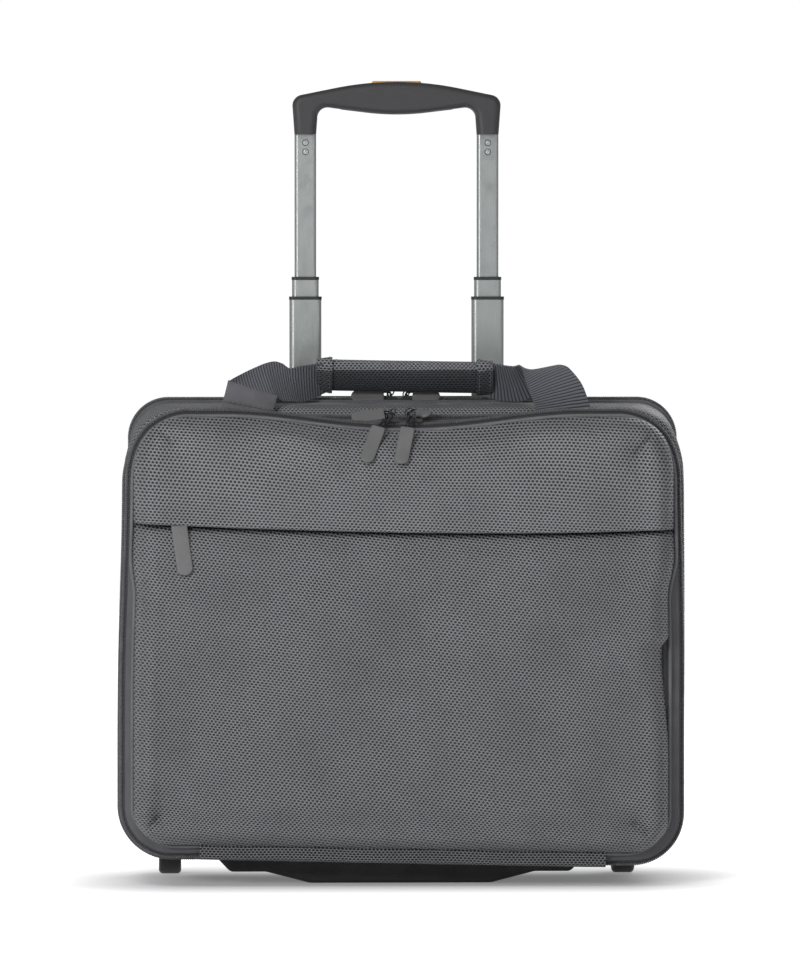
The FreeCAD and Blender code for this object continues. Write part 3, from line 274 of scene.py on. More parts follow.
def settle(points):
    """Lets the standing case relax. Above half height the front draws in by 1.7% and the back by
    0.4%, and the top leans a little to the right, most at the back. The front top edge stands higher
    at the shoulders than between them, the wall behind it swells up, and the front base hangs lower
    on the right and higher on the left."""
    points = np.array(points, float)
    x, y, z = points[..., 0], points[..., 1], points[..., 2]
    front = 1 - smooth((y + 0.066) / 0.036)
    near_base = 1 - smooth((y + 0.052) / 0.03)
    shoulder = smooth((np.abs(x) - 0.01) / 0.125)
    high = smooth((z - 0.275) / 0.06)
    lift = (0.0104 * shoulder - 0.0006) * high * front
    saddle = 0.0030 * high * smooth((y + 0.058) / 0.022) * (1 - smooth((y + 0.020) / 0.040))
    droop = -0.0032 * np.clip(x / 0.15, -1, 1) * (1 - smooth((z - 0.02) / 0.16)) * near_base
    drawn = 0.004 + 0.013 * (1 - smooth((y + 0.060) / 0.045))
    lean = (0.0010 + 0.0022 * smooth((y + 0.055) / 0.05)) * smooth((z - 0.10) / 0.18)
    points[..., 0] = x * (1 - drawn * smooth((z - 0.15) / 0.17)) + lean
    points[..., 2] = z + lift + saddle + droop
    return points


def band(profile, closed=False, finish=0, turned=True, stations=STATIONS, ripple=None):
    """A profile of (depth, stand-off) points carried round the case's outline and settled."""
    profile = np.asarray(profile, float)
    rings = outline(profile[:, 0], profile[:, 1], stations)
    if ripple is not None:
        rings = ripple(rings, profile)
    return patch(settle(rings), closed=(closed, True), turned=turned, finish=finish)


def rounded(profile, radius, count=5):
    """Rounds the inner corners of an open profile with quadratic arcs of about that radius."""
    profile = np.asarray(profile, float)
    pieces = [profile[:1]]
    t = np.linspace(0, 1, count)[:, None]
    for before, corner, after in zip(profile[:-2], profile[1:-1], profile[2:]):
        a, b = before - corner, after - corner
        near = min(radius, 0.48 * np.linalg.norm(a), 0.48 * np.linalg.norm(b))
        start = corner + a / np.linalg.norm(a) * near
        end = corner + b / np.linalg.norm(b) * near
        pieces.append((1 - t) ** 2 * start + 2 * t * (1 - t) * corner + t ** 2 * end)
    pieces.append(profile[-1:])
    return np.vstack(pieces)


def cap(ring, steps, turned=False, finish=0, swell=0.0):
    """Fills a settled ring of the outline to its middle line. A point at share s of the way out lies
    at middle + s*(ring - middle), and stands off along y by swell*(1 - s^2)^0.7."""
    span = 0.5 * (ring[:, 0].max() - ring[:, 0].min()) - 0.5 * (ring[:, 2].max() - ring[:, 2].min())
    middle = ring.copy()
    middle[:, 0] = np.clip(ring[:, 0], -span, span)
    middle[:, 2] = 0.5 * (ring[:, 2].max() + ring[:, 2].min())
    s = np.linspace(1, 0, steps)[:, None, None]
    points = middle[None] + s * (ring - middle)[None]
    points[..., 1] += swell * (1 - s[..., 0] ** 2) ** 0.7
    uv = np.concatenate([points, points[:, :1]], 1)[..., [0, 2]]
    return patch(points, uv, closed=(False, True), turned=turned, finish=finish)


# --- finishes --------------------------------------------------------------------------------

def shade(red, green, blue):
    """A colour given as it looks on screen, 0 to 255, as the light it reflects."""
    c = np.array([red, green, blue]) / 255
    c = np.where(c <= 0.04045, c / 12.92, ((c + 0.055) / 1.055) ** 2.4)
    return (*c, 1.0)


def add(tree, kind, inputs=None, **settings):
    """A node with its settings, and its inputs given as constants or as sockets to link."""
    node = tree.nodes.new(kind)
    for key, value in settings.items():
        setattr(node, key, value)
    for key, value in (inputs or {}).items():
        if isinstance(value, bpy.types.NodeSocket):
            tree.links.new(value, node.inputs[key])
        else:
            node.inputs[key].default_value = value
    return node


def reckon(tree, operation, *values):
    return add(tree, "ShaderNodeMath", dict(enumerate(values)), operation=operation).outputs[0]


def blend_colours(tree, share, first, second):
    node = add(tree, "ShaderNodeMix", {0: share, 6: first, 7: second}, data_type="RGBA")
    return node.outputs[2]


def brighten(tree, colour, amount):
    """The colour times a number."""
    return add(tree, "ShaderNodeVectorMath", {0: colour, "Scale": amount}, operation="SCALE").outputs[0]


def ease(tree, value, low, high, to_low=0.0, to_high=1.0):
    return add(tree, "ShaderNodeMapRange",
               {"Value": value, 1: low, 2: high, 3: to_low, 4: to_high},
               interpolation_type="SMOOTHSTEP").outputs[0]


def noise(tree, place, scale, detail=2.0, stretch=None):
    if stretch:
        place = add(tree, "ShaderNodeMapping", {"Vector": place, "Scale": stretch}).outputs[0]
    return add(tree, "ShaderNodeTexNoise", {"Vector": place, "Scale": scale, "Detail": detail}).outputs[0]


KINDS = {"place": "NodeSocketVector", "colour": "NodeSocketColor", "number": "NodeSocketFloat"}


def new_group(name, inputs, outputs):
    """An empty shader group with named inputs, each with its kind and starting value, and outputs."""
    tree = bpy.data.node_groups.new(name, "ShaderNodeTree")
    for title, (kind, start) in inputs.items():
        socket = tree.interface.new_socket(name=title, in_out="INPUT", socket_type=KINDS[kind])
        if start is not None:
            socket.default_value = start
    for title, kind in outputs.items():
        tree.interface.new_socket(name=title, in_out="OUTPUT", socket_type=KINDS[kind])
    return tree, add(tree, "NodeGroupInput").outputs, add(tree, "NodeGroupOutput").inputs


def give(tree, socket, value):
    tree.links.new(value, socket)


def basket_weave():
    """Level bright threads with staggered dark holes between them. The relief is
    0.65 cos(2 pi v/up) + 1.1 cos(2 pi u/across) sin(pi v/up), lowest in the holes."""
    tree, given, out = new_group("basket weave", {
        "Place": ("place", None), "Across": ("number", 0.00305), "Up": ("number", 0.00204),
        "Thread": ("colour", None), "Gap": ("colour", None), "Gap width": ("number", 0.0),
        "Wander": ("number", 0.0004)}, {"Colour": "colour", "Height": "number"})
    drift = add(tree, "ShaderNodeTexNoise", {"Vector": given["Place"], "Scale": 120.0}).outputs[1]
    drift = add(tree, "ShaderNodeVectorMath", {0: drift, 1: (0.5, 0.5, 0.5)}, operation="SUBTRACT")
    drift = add(tree, "ShaderNodeVectorMath", {0: drift.outputs[0], "Scale": given["Wander"]},
                operation="SCALE")
    place = add(tree, "ShaderNodeVectorMath", {0: given["Place"], 1: drift.outputs[0]})
    parts = add(tree, "ShaderNodeSeparateXYZ", {0: place.outputs[0]}).outputs
    u = reckon(tree, "MULTIPLY", 2 * math.pi, reckon(tree, "DIVIDE", parts[0], given["Across"]))
    v = reckon(tree, "MULTIPLY", math.pi, reckon(tree, "DIVIDE", parts[1], given["Up"]))
    rows = reckon(tree, "COSINE", reckon(tree, "MULTIPLY", v, 2.0))
    holes = reckon(tree, "MULTIPLY", reckon(tree, "COSINE", u), reckon(tree, "SINE", v))
    relief = reckon(tree, "ADD", reckon(tree, "MULTIPLY", rows, 0.65), reckon(tree, "MULTIPLY", holes, 1.1))
    patchy = ease(tree, noise(tree, given["Place"], 28.0, 3.0), 0.3, 0.7, 0.93, 1.07)
    fibres = ease(tree, noise(tree, given["Place"], 1800.0, 1.0), 0.25, 0.75, 0.84, 1.14)
    thread = brighten(tree, given["Thread"], reckon(tree, "MULTIPLY", patchy, fibres))
    shown = reckon(tree, "SUBTRACT", relief, given["Gap width"])
    share = add(tree, "ShaderNodeMapRange", {"Value": shown, 1: -0.75, 2: 0.70}).outputs[0]
    give(tree, out["Colour"], blend_colours(tree, share, given["Gap"], thread))
    give(tree, out["Height"], relief)
    return tree


def fine_cloth():
    """Close plain cloth: sin(2 pi u/pitch)*sin(2 pi v/pitch) threads, cloudy colour and soft creases."""
    tree, given, out = new_group("fine cloth", {
        "Place": ("place", None), "Pitch": ("number", 0.0006), "Cloth": ("colour", None),
        "Creases": ("number", 0.3)}, {"Colour": "colour", "Height": "number"})
    parts = add(tree, "ShaderNodeSeparateXYZ", {0: given["Place"]}).outputs
    waves = [reckon(tree, "SINE", reckon(tree, "MULTIPLY", 2 * math.pi,
                                         reckon(tree, "DIVIDE", p, given["Pitch"]))) for p in parts[:2]]
    threads = reckon(tree, "MULTIPLY", *waves)
    cloud = ease(tree, noise(tree, given["Place"], 60.0, 4.0), 0.3, 0.7, 0.88, 1.12)
    weave = ease(tree, threads, -1.0, 1.0, 0.90, 1.08)
    give(tree, out["Colour"], brighten(tree, given["Cloth"], reckon(tree, "MULTIPLY", cloud, weave)))
    folds = reckon(tree, "MULTIPLY", given["Creases"],
                   noise(tree, given["Place"], 45.0, 2.0, (1.0, 3.0, 1.0)))
    give(tree, out["Height"], reckon(tree, "ADD", reckon(tree, "MULTIPLY", threads, 0.10), folds))
    return tree


def ribs():
    """Ribbed webbing: each rib crosses the strap, a half wave |sin(pi u/pitch)| high."""
    tree, given, out = new_group("webbing ribs", {
        "Place": ("place", None), "Pitch": ("number", 0.0022), "Thread": ("colour", None)},
        {"Colour": "colour", "Height": "number"})
    parts = add(tree, "ShaderNodeSeparateXYZ", {0: given["Place"]}).outputs
    wander = reckon(tree, "MULTIPLY", noise(tree, given["Place"], 120.0), 0.0007)
    wave = reckon(tree, "ABSOLUTE", reckon(tree, "SINE", reckon(
        tree, "MULTIPLY", math.pi,
        reckon(tree, "DIVIDE", reckon(tree, "ADD", parts[0], wander), given["Pitch"]))))
    twist = reckon(tree, "SINE", reckon(tree, "MULTIPLY", parts[1], 2 * math.pi / 0.0011))
    tone = ease(tree, wave, 0.10, 0.80, 0.12, 1.25)
    fuzz = ease(tree, noise(tree, given["Place"], 1500.0, 2.0), 0.3, 0.7, 0.86, 1.1)
    give(tree, out["Colour"], brighten(tree, given["Thread"], reckon(tree, "MULTIPLY", tone, fuzz)))
    give(tree, out["Height"], reckon(tree, "ADD", wave, reckon(tree, "MULTIPLY", twist, 0.18)))
    return tree


def moulded_grain():
    """Spark-eroded plastic: a fine pebbled grain, faint patches, and a paler rub on sharp edges."""
    tree, given, out = new_group("moulded grain", {
        "Place": ("place", None), "Plastic": ("colour", None), "Grain": ("number", 2200.0),
        "Rub": ("number", 0.35)}, {"Colour": "colour", "Height": "number", "Roughness": "number"})
    pebbles = add(tree, "ShaderNodeTexVoronoi", {"Vector": given["Place"], "Scale": given["Grain"]},
                  feature="SMOOTH_F1").outputs["Distance"]
    patchy = noise(tree, given["Place"], 35.0, 4.0)
    edge = add(tree, "ShaderNodeNewGeometry").outputs["Pointiness"]
    rub = reckon(tree, "MULTIPLY", given["Rub"],
                 reckon(tree, "MULTIPLY", ease(tree, edge, 0.53, 0.62), ease(tree, patchy, 0.35, 0.65)))
    worn = brighten(tree, given["Plastic"], 1.9)
    tone = brighten(tree, given["Plastic"], ease(tree, patchy, 0.3, 0.7, 0.9, 1.1))
    give(tree, out["Colour"], blend_colours(tree, rub, tone, worn))
    give(tree, out["Height"], pebbles)
    give(tree, out["Roughness"], ease(tree, patchy, 0.3, 0.7, 0.48, 0.62))
    return tree


def drawn_metal():
    """Metal drawn lengthwise: streaks of a noise stretched along Z, light handling marks, and specks."""
    tree, given, out = new_group("drawn metal", {
        "Place": ("place", None), "Metal": ("colour", None), "Along": ("place", (60.0, 60.0, 1.5))},
        {"Colour": "colour", "Height": "number", "Roughness": "number"})
    lines = add(tree, "ShaderNodeVectorMath", {0: given["Place"], 1: given["Along"]},
                operation="MULTIPLY").outputs[0]
    streaks = noise(tree, lines, 40.0, 3.0)
    marks = noise(tree, given["Place"], 90.0, 5.0)
    tone = reckon(tree, "MULTIPLY", ease(tree, streaks, 0.3, 0.7, 0.96, 1.04),
                  ease(tree, marks, 0.3, 0.75, 1.02, 0.97))
    give(tree, out["Colour"], brighten(tree, given["Metal"], tone))
    give(tree, out["Height"], streaks)
    give(tree, out["Roughness"], ease(tree, marks, 0.3, 0.7, 0.34, 0.46))
    return tree


WEAVE, CLOTH, RIBS, GRAIN, DRAWN = basket_weave(), fine_cloth(), ribs(), moulded_grain(), drawn_metal()


def finish(name, group, values, depth, source="UV", roughness=None, **constants):
    """A material that takes its colour and its raised pattern from a group. depth is the pattern's
    height in metres."""
    material = bpy.data.materials.new(name)
    material.use_nodes = True
    tree = material.node_tree
    shader = tree.nodes["Principled BSDF"]
    place = add(tree, "ShaderNodeTexCoord").outputs[source]
    inner = add(tree, "ShaderNodeGroup", node_tree=group)
    give(tree, inner.inputs["Place"], place)
    for key, value in values.items():
        inner.inputs[key].default_value = value
    colour = inner.outputs["Colour"]
    give(tree, shader.inputs["Base Color"], colour)
    if roughness is None:
        give(tree, shader.inputs["Roughness"], inner.outputs["Roughness"])
    else:
        shader.inputs["Roughness"].default_value = roughness
    raised = add(tree, "ShaderNodeBump", {"Height": inner.outputs["Height"], "Distance": depth,
                                          "Strength": 1.0})
    give(tree, shader.inputs["Normal"], raised.outputs[0])
    for key, value in constants.items():
        shader.inputs[key.replace("_", " ")].default_value = value
    return material


LIGHT_MESH = finish("light mesh cloth", WEAVE, {
    "Thread": shade(134, 135, 139), "Gap": shade(8, 8, 10)}, 0.00026, roughness=0.48,
    Sheen_Weight=0.05)
# The pocket's front is the same light mesh as the flap, with darker thread as painted shade.
POCKET_SHADED_MESH = finish("pocket mesh cloth with painted shade", WEAVE, {
    "Thread": shade(125, 126, 130), "Gap": shade(8, 8, 10)}, 0.00026, roughness=0.46,
    Sheen_Weight=0.05)
# The wrap's mesh in a darker copy: painted shade on its front and underside, which face away from the light.
WRAP_SHADE_MESH = finish("wrap mesh cloth with painted shade", WEAVE, {
    "Thread": shade(68, 72, 78), "Gap": shade(10, 11, 13)}, 0.0002, roughness=0.75,
    Sheen_Weight=0.05)
BAND_MESH = finish("end band mesh", WEAVE, {
    "Thread": shade(84, 87, 93), "Gap": shade(12, 13, 15)}, 0.0002, roughness=0.75,
    Sheen_Weight=0.05)
OPEN_MESH = finish("open spacer mesh", WEAVE, {
    "Thread": shade(146, 147, 150), "Gap": shade(8, 8, 9), "Gap width": 0.3,
    "Across": 0.0029, "Up": 0.0019}, 0.0005, roughness=0.8)
NYLON = finish("smooth nylon edging", CLOTH, {"Cloth": shade(84, 84, 88), "Creases": 0.5}, 0.0006,
               roughness=0.62, Sheen_Weight=0.12)
PIPING = finish("piping", CLOTH, {"Cloth": shade(102, 102, 106), "Creases": 0.4}, 0.0004,
                roughness=0.55, Sheen_Weight=0.12)
TAPE = finish("zip tape", CLOTH, {"Cloth": shade(60, 61, 64), "Pitch": 0.0009, "Creases": 0.1},
              0.0004, roughness=0.75)
COIL = finish("zip coil", CLOTH, {"Cloth": shade(98, 98, 101), "Pitch": 0.0007, "Creases": 0.1},
              0.0002, roughness=0.5)
LINING = finish("dark lining", CLOTH, {"Cloth": shade(44, 45, 49), "Pitch": 0.0008, "Creases": 1.2},
                0.0010, roughness=0.5, Sheen_Weight=0.1)
THREAD = finish("sewing thread", CLOTH, {"Cloth": shade(58, 58, 62), "Pitch": 0.0005}, 0.0001,
                source="Object", roughness=0.7)
PALE_THREAD = finish("pale sewing thread", CLOTH, {"Cloth": shade(118, 118, 122), "Pitch": 0.0005},
                     0.0001, source="Object", roughness=0.7)
WEBBING = finish("ribbed webbing", RIBS, {"Thread": shade(92, 94, 101)}, 0.0005, roughness=0.7,
                 Sheen_Weight=0.15)
STRAP_END = finish("sewn strap end", CLOTH, {"Cloth": shade(96, 95, 100), "Pitch": 0.0007}, 0.0005,
                   roughness=0.6, Sheen_Weight=0.1)
BLACK_PLASTIC = finish("black moulded plastic", GRAIN, {"Plastic": shade(31, 31, 32)}, 0.00012,
                       source="Object")
GRIP_PLASTIC = finish("grip plastic", GRAIN, {"Plastic": shade(52, 52, 54)}, 0.00012, source="Object")
BUTTON_PLASTIC = finish("button plastic", GRAIN, {"Plastic": shade(214, 158, 62), "Rub": 0.1}, 0.0001,
                        source="Object")
HUB_PLASTIC = finish("hub plastic", GRAIN, {"Plastic": shade(52, 53, 55)}, 0.00012, source="Object")
TYRE = finish("tyre", GRAIN, {"Plastic": shade(28, 28, 28), "Grain": 1400.0}, 0.0002, source="Object")
BOARD = finish("pressed board", GRAIN, {"Plastic": shade(70, 66, 60), "Grain": 600.0}, 0.0002,
               source="Object")
TAB = finish("rubber pull tab", GRAIN, {"Plastic": shade(106, 106, 107), "Grain": 1800.0, "Rub": 0.15},
             0.0001, source="Object")
TUBE = finish("anodised tube", DRAWN, {"Metal": shade(158, 162, 161)}, 0.00003, source="Object",
              Metallic=0.75)
STEEL = finish("plated steel", DRAWN, {"Metal": shade(150, 150, 150)}, 0.00003, source="Object",
               Metallic=0.9)
SLIDER = finish("dark plated slider", DRAWN, {"Metal": shade(62, 62, 62), "Along": (30.0, 30.0, 30.0)},
                0.00003, source="Object", Metallic=0.8)
RIVET = finish("rivet", DRAWN, {"Metal": shade(176, 178, 178), "Along": (30.0, 30.0, 30.0)}, 0.00003,
               source="Object", Metallic=0.85)


# --- the lid ---------------------------------------------------------------------------------

PANEL_INSET = 0.0052
PANEL_HALF = FRONT_HIGH.x - PANEL_INSET
PANEL_TOP = FRONT_HIGH.z - PANEL_INSET
PANEL_BASE = BASE + PANEL_INSET
PANEL_EDGE_Y = LID_EDGE - 0.0055
TOP_ROUND, BASE_ROUND = 0.037, 0.028
FRONT_COLUMNS, POCKET_ROWS, FLAP_ROWS, FOLD_ROWS = 170, 130, 64, 12


def drawn_in(points, profile=None):
    """The lid's lower half is drawn in from the zip: both sides below mid height, the right one more,
    and the base edge. The pull fades out at the zip itself. It doesn't depend on a band's profile."""
    x, y, z = points[..., 0], points[..., 1], points[..., 2]
    ahead = smooth((LID_EDGE + 0.0002 - y) / 0.0030)
    side = smooth((0.250 - z) / 0.035) * smooth((np.abs(x) - 0.12) / 0.07)
    base = smooth((0.062 - z) / 0.030)
    amount = np.where(x > 0, 0.0062, 0.0042)
    return np.stack([x - np.sign(x) * amount * side * ahead, y, z + 0.0040 * base * ahead], -1)


def panel_half_at(z):
    """Half the front's width at a height: straight sides with quarter-circle corners."""
    up = np.clip(z - (PANEL_TOP - TOP_ROUND), 0, TOP_ROUND)
    down = np.clip(PANEL_BASE + BASE_ROUND - z, 0, BASE_ROUND)
    return (PANEL_HALF - TOP_ROUND + np.sqrt(TOP_ROUND ** 2 - up ** 2)
            - BASE_ROUND + np.sqrt(BASE_ROUND ** 2 - down ** 2))


def inside(x, z):
    """The distance in from the front's rounded outline."""
    round_here = np.where(z > 0.18, TOP_ROUND, BASE_ROUND)
    half_high = 0.5 * (PANEL_TOP - PANEL_BASE)
    side = np.abs(x) - PANEL_HALF + round_here
    level = np.abs(z - 0.5 * (PANEL_TOP + PANEL_BASE)) - half_high + round_here
    out = np.hypot(np.maximum(side, 0), np.maximum(level, 0)) + np.minimum(np.maximum(side, level), 0)
    return round_here - out


def slit_at(x):
    """The height of the pocket's mouth: it hangs a little from both ends, most right of the middle."""
    left, low, right = 0.2738, 0.2664, 0.2688
    middle = 0.075
    t = np.where(x < middle, (x + PANEL_HALF) / (middle + PANEL_HALF), 1.0)
    s = np.where(x > middle, (x - middle) / (PANEL_HALF - middle), 0.0)
    return left + (low - left) * np.sin(0.5 * np.pi * np.clip(t, 0, 1)) ** 0.9 + (right - low) * s ** 2


def from_line(x, z, root, tip):
    """The distance from places to the line between two others."""
    ahead = np.subtract(tip, root)
    t = np.clip(((x - root[0]) * ahead[0] + (z - root[1]) * ahead[1]) / (ahead @ ahead), 0, 1)
    return np.hypot(x - root[0] - t * ahead[0], z - root[1] - t * ahead[1])


def front_surface(x, z):
    """How far forward the front stands: it rises from the piping as (1-(1-s)^p)^q, where s is the
    distance in over a reach at the sides and base. Under the top edge it is a sloping ledge, then a
    slow rise. On that lie a low belly, the flap's turn back towards the mouth, and the slack cloth's
    waves: a hollow beside each top corner, a dent left of the pulls, and at each corner dart a
    crease along its seam and a tuck at its tip."""
    d = np.maximum(inside(x, z), 0)
    high = smooth((z - 0.285) / 0.050)
    broad = high * (1 - 0.75 * smooth((np.abs(x) - 0.095) / 0.080))
    rounded_over = (1 - (1 - np.clip(d / 0.018, 0, 1)) ** 2.2) ** 0.60
    ledge = 0.0185 * (1 + 0.22 * np.sin(34 * x + 0.8) + 0.10 * np.sin(91 * x))
    shelved = (0.76 * np.sin(0.5 * np.pi * np.clip(d / ledge, 0, 1))
               + 0.24 * np.sin(0.5 * np.pi * np.clip(d / 0.044, 0, 1)))
    swell = mix(rounded_over, shelved, broad)
    y = PANEL_EDGE_Y - (PANEL_EDGE_Y - FRONT_FACE + 0.0004) * swell
    belly = (1 - (x / PANEL_HALF) ** 2) * np.sin(np.pi * np.clip((z - PANEL_BASE) / 0.30, 0, 1)) ** 0.8
    turned = 0.0042 * smooth((0.302 - z) / 0.034) * smooth((z - 0.205) / 0.050)
    waves = (0.0030 * np.sin(31 * x + 17 * z + 0.6) * np.sin(23 * z - 9 * x)
             + 0.0015 * np.sin(52 * x - 34 * z + 1.1) * smooth(d / 0.05)
             + 0.0014 * np.sin(70 * x + 8) * bump(z, 0.325, 0.016))
    dent = (0.0030 * bump(x + 0.25 * (0.33 - z), -0.036, 0.013) * bump(z, 0.318, 0.013)
            - 0.0016 * bump(x - 0.25 * (0.33 - z), -0.004, 0.020) * smooth((z - 0.277) / 0.03))
    hollow = sum(0.0024 * np.exp(-((x - cx) / 0.030) ** 2 - ((z - cz) / 0.020) ** 2)
                 for cx, cz in ((-0.120, 0.322), (0.112, 0.320)))
    tuck = sum(0.0034 * np.exp(-((np.hypot(x - tip[0], z - tip[1])) / 0.010) ** 2)
               + 0.0026 * np.exp(-(from_line(x, z, root, tip) / 0.0022) ** 2) for root, tip in DARTS)
    return y - 0.0034 * belly + turned + waves * smooth(d / 0.03) + dent + hollow + tuck


DARTS = (((-0.1835, 0.3315), (-0.1755, 0.3262)), ((0.1865, 0.3280), (0.1765, 0.3175)),
         ((-0.1925, 0.0405), (-0.1860, 0.0495)), ((0.1880, 0.0420), (0.1785, 0.0500)))


def row_shares(up, at_low, at_high):
    """Shares from 0 to 1 that crowd where an end is rounded."""
    t = np.linspace(0, 1, up)
    if at_low:
        t = 1 - np.sin(0.5 * np.pi * (1 - t)) * 0.35 - (1 - t) * 0.65
    if at_high:
        t = np.sin(0.5 * np.pi * t) * 0.45 + t * 0.55
    return t


def across_front():
    """Shares from -1 to 1 across the front that crowd towards both sides."""
    share = np.linspace(-1, 1, FRONT_COLUMNS)
    return 0.4 * share + 0.6 * np.sin(0.5 * np.pi * share)


def set_back(x, z):
    """How far the pocket's lower half stands back from the front's shape."""
    return 0.0060 * smooth((0.235 - z) / 0.19) * smooth(inside(x, z) / 0.022)


def lower_panel():
    """The pocket's front, from the base edging up to behind the flap over its mouth."""
    share = across_front()
    rows = row_shares(POCKET_ROWS, True, False)[:, None]
    x = np.broadcast_to(share * PANEL_HALF, (POCKET_ROWS, FRONT_COLUMNS))
    for _ in range(4):
        z = PANEL_BASE + (slit_at(x) + 0.010 - PANEL_BASE) * rows
        x = share * panel_half_at(z)
    y = front_surface(x, z)
    below = slit_at(x) - z
    y = y + 0.0022 * smooth((0.022 - below) / 0.024) + 0.0085 * smooth((0.0052 - below) / 0.006)
    y = y + set_back(x, z)
    y = y - 0.0018 * bump(below, 0.020, 0.010) * smooth(inside(x, z) / 0.03)
    gather = smooth((x - 0.150) / 0.05) * smooth((0.1880 - z) / 0.009) * smooth((z - 0.100) / 0.075)
    y = y + 0.0030 * gather * bump(inside(x, z), 0.012, 0.008)
    x = x - 0.0052 * gather * smooth((x - 0.17) / 0.03)
    front = settle(drawn_in(np.stack([x, y, z], -1)))
    back = front + [0, 0.0012, 0]
    uv = np.stack([x, z + 0.14 * x], -1)
    return [patch(front, uv), patch(back, uv, turned=True, finish=1),
            patch(np.stack([front[-1], back[-1]]), turned=True)]


def upper_flap():
    """The front above the mouth. Its bottom edge is folded under and stands proud of the pocket."""
    share = across_front()
    rows = row_shares(FLAP_ROWS, False, True)[:, None]
    x = np.broadcast_to(share * PANEL_HALF, (FLAP_ROWS, FRONT_COLUMNS))
    for _ in range(8):
        z = slit_at(x) + (PANEL_TOP - slit_at(x)) * rows
        x = share * panel_half_at(z)
    y = front_surface(x, z)
    above = z - slit_at(x)
    sides = smooth((PANEL_HALF - np.abs(x)) / 0.012)
    y = y - (0.0022 * (1 - smooth(above / 0.05)) + 0.0006) * sides
    front = np.stack([x, y, z], -1)
    edge = front[0]
    hem = [edge + [0, 0.0002, -0.0005], edge + [0, 0.0010, -0.0009], edge + [0, 0.0018, -0.0005]]
    under = [edge + [0, 0.0021, 0.0005 + 0.0012 * k] for k in range(FOLD_ROWS - 3)]
    fold = settle(np.stack(under[::-1] + hem[::-1]))
    front = settle(front)
    whole = np.vstack([fold, front])
    level = np.vstack([z[:1] - 0.0012 * np.arange(FOLD_ROWS, 0, -1)[:, None], z])
    uv = np.stack([whole[..., 0], level + 0.06 * whole[..., 0]], -1)
    return [patch(whole, uv)]


def dart_stitches():
    """Two rows of pale stitches along each corner dart, a stitch's width apart."""
    runs = []
    for root, tip in DARTS:
        line = np.linspace(root, tip, 40)
        way = (line[-1] - line[0]) / np.linalg.norm(line[-1] - line[0])
        for step in (-0.0011, 0.0011):
            x, z = line[:, 0] - step * way[1], line[:, 1] + step * way[0]
            sewn = drawn_in(np.stack([x, front_surface(x, z) + set_back(x, z) - 0.0009, z], -1))
            outward = np.broadcast_to([0.25 * way[1] * np.sign(step), -1.0, 0.3], sewn.shape)
            runs.append(stitch_run(settle(sewn), outward, 0.0019, 0.0009, 0.00034))
    return runs


# The pocket's front takes the darker copy of the light mesh, which is painted shade.
for name, parts, weave, rows, node in (
        ("pocket_front", lower_panel(), POCKET_SHADED_MESH, POCKET_ROWS, "front_pocket_panel"),
        ("upper_flap", upper_flap(), LIGHT_MESH, FLAP_ROWS + FOLD_ROWS, "upper_front_panel")):
    panel = build(name, parts, (weave, LINING), "lid", (node,))
build("dart_stitches", dart_stitches(), (PALE_THREAD,), "lid")


def lid_edging():
    """A thin piping against the front's edge, and a smooth nylon flange sloping out from it to the
    zip, with a doubled edge where it is sewn."""
    y = LID_EDGE
    piping = np.array([y - 0.0054, -0.0045]) + oval(0.0016, 0.0014, 14)
    flange = rounded([(y - 0.0042, -0.0130), (y - 0.0044, -0.0052), (y - 0.0020, -0.0038),
                      (y - 0.0002, -0.0031), (y + 0.0008, -0.0033), (y + 0.0008, -0.0043),
                      (y - 0.0030, -0.0070), (y - 0.0036, -0.0130)], 0.0006, 4)
    return [band(piping, True, stations=FINE, ripple=drawn_in),
            band(flange, True, finish=1, stations=FINE, ripple=drawn_in)]


def lid_lining():
    """The lid's inside: a low wall behind the edging, and a slack lining across it."""
    y = LID_EDGE
    wall = rounded([(y + 0.0002, -0.0052), (y - 0.0030, -0.0084), (y - 0.0100, -0.0122),
                    (y - 0.0135, -0.0200)], 0.003)
    rings = settle(drawn_in(outline(wall[:, 0], wall[:, 1])))
    return [patch(rings, closed=(False, True), turned=False),
            cap(rings[-1], 14, turned=False, swell=0.0015)]


build("lid_edging", lid_edging(), (PIPING, NYLON), "lid", ("lid_shell",))
build("lid_lining", lid_lining(), (LINING,), "lid")


# --- the zips --------------------------------------------------------------------------------

HINGE_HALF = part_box("front_hinge_strip")[1].x
COIL_PITCH = 0.0016


def bead(line, half_width, half_height, beside, above):
    """Rings round a line, each with the half width and half height given for its place."""
    ring = oval(1.0, 1.0, 7)
    return (line[None] + ring[:, None, :1] * half_width[None, :, None] * beside
            + ring[:, None, 1:] * half_height[None, :, None] * above)


def zip_coil(parting, ahead, shift, out):
    """Half a zip's teeth: a bead along the outline whose stand-off swings as |cos(pi u/pitch)|,
    with the other half's teeth half a pitch further on."""
    ring = settle(outline([parting + ahead * 0.0014], [out + 0.0004], FINE))[0]
    length = travelled(np.vstack([ring, ring[:1]]))[-1]
    teeth = int(length / COIL_PITCH)
    line = even(ring, teeth * 4, True)
    ahead_way = np.roll(line, -1, 0) - np.roll(line, 1, 0)
    ahead_way /= np.linalg.norm(ahead_way, axis=1, keepdims=True)
    depth = np.array([0.0, 1.0, 0.0])
    outward = np.cross(ahead_way, depth)
    k = np.arange(teeth * 4)
    tooth = np.abs(np.cos(np.pi * (k / 4 + 0.5 * shift)))
    width = 0.00110 + 0.0008 * tooth
    height = 0.00060 + 0.0012 * tooth
    points = bead(line, width, height, depth, outward)
    return above_hinge(patch(points, closed=(True, True), turned=True, finish=2))


def above_hinge(part):
    """The part of a ring of quads that isn't on the base between the ends of the hinge strips."""
    corners, faces, places, numbers = part
    middle = corners[faces].mean(1)
    kept = (np.abs(middle[:, 0]) > HINGE_HALF) | (middle[:, 2] > BASE + 0.012)
    return corners, faces[kept], places[kept], numbers[kept]


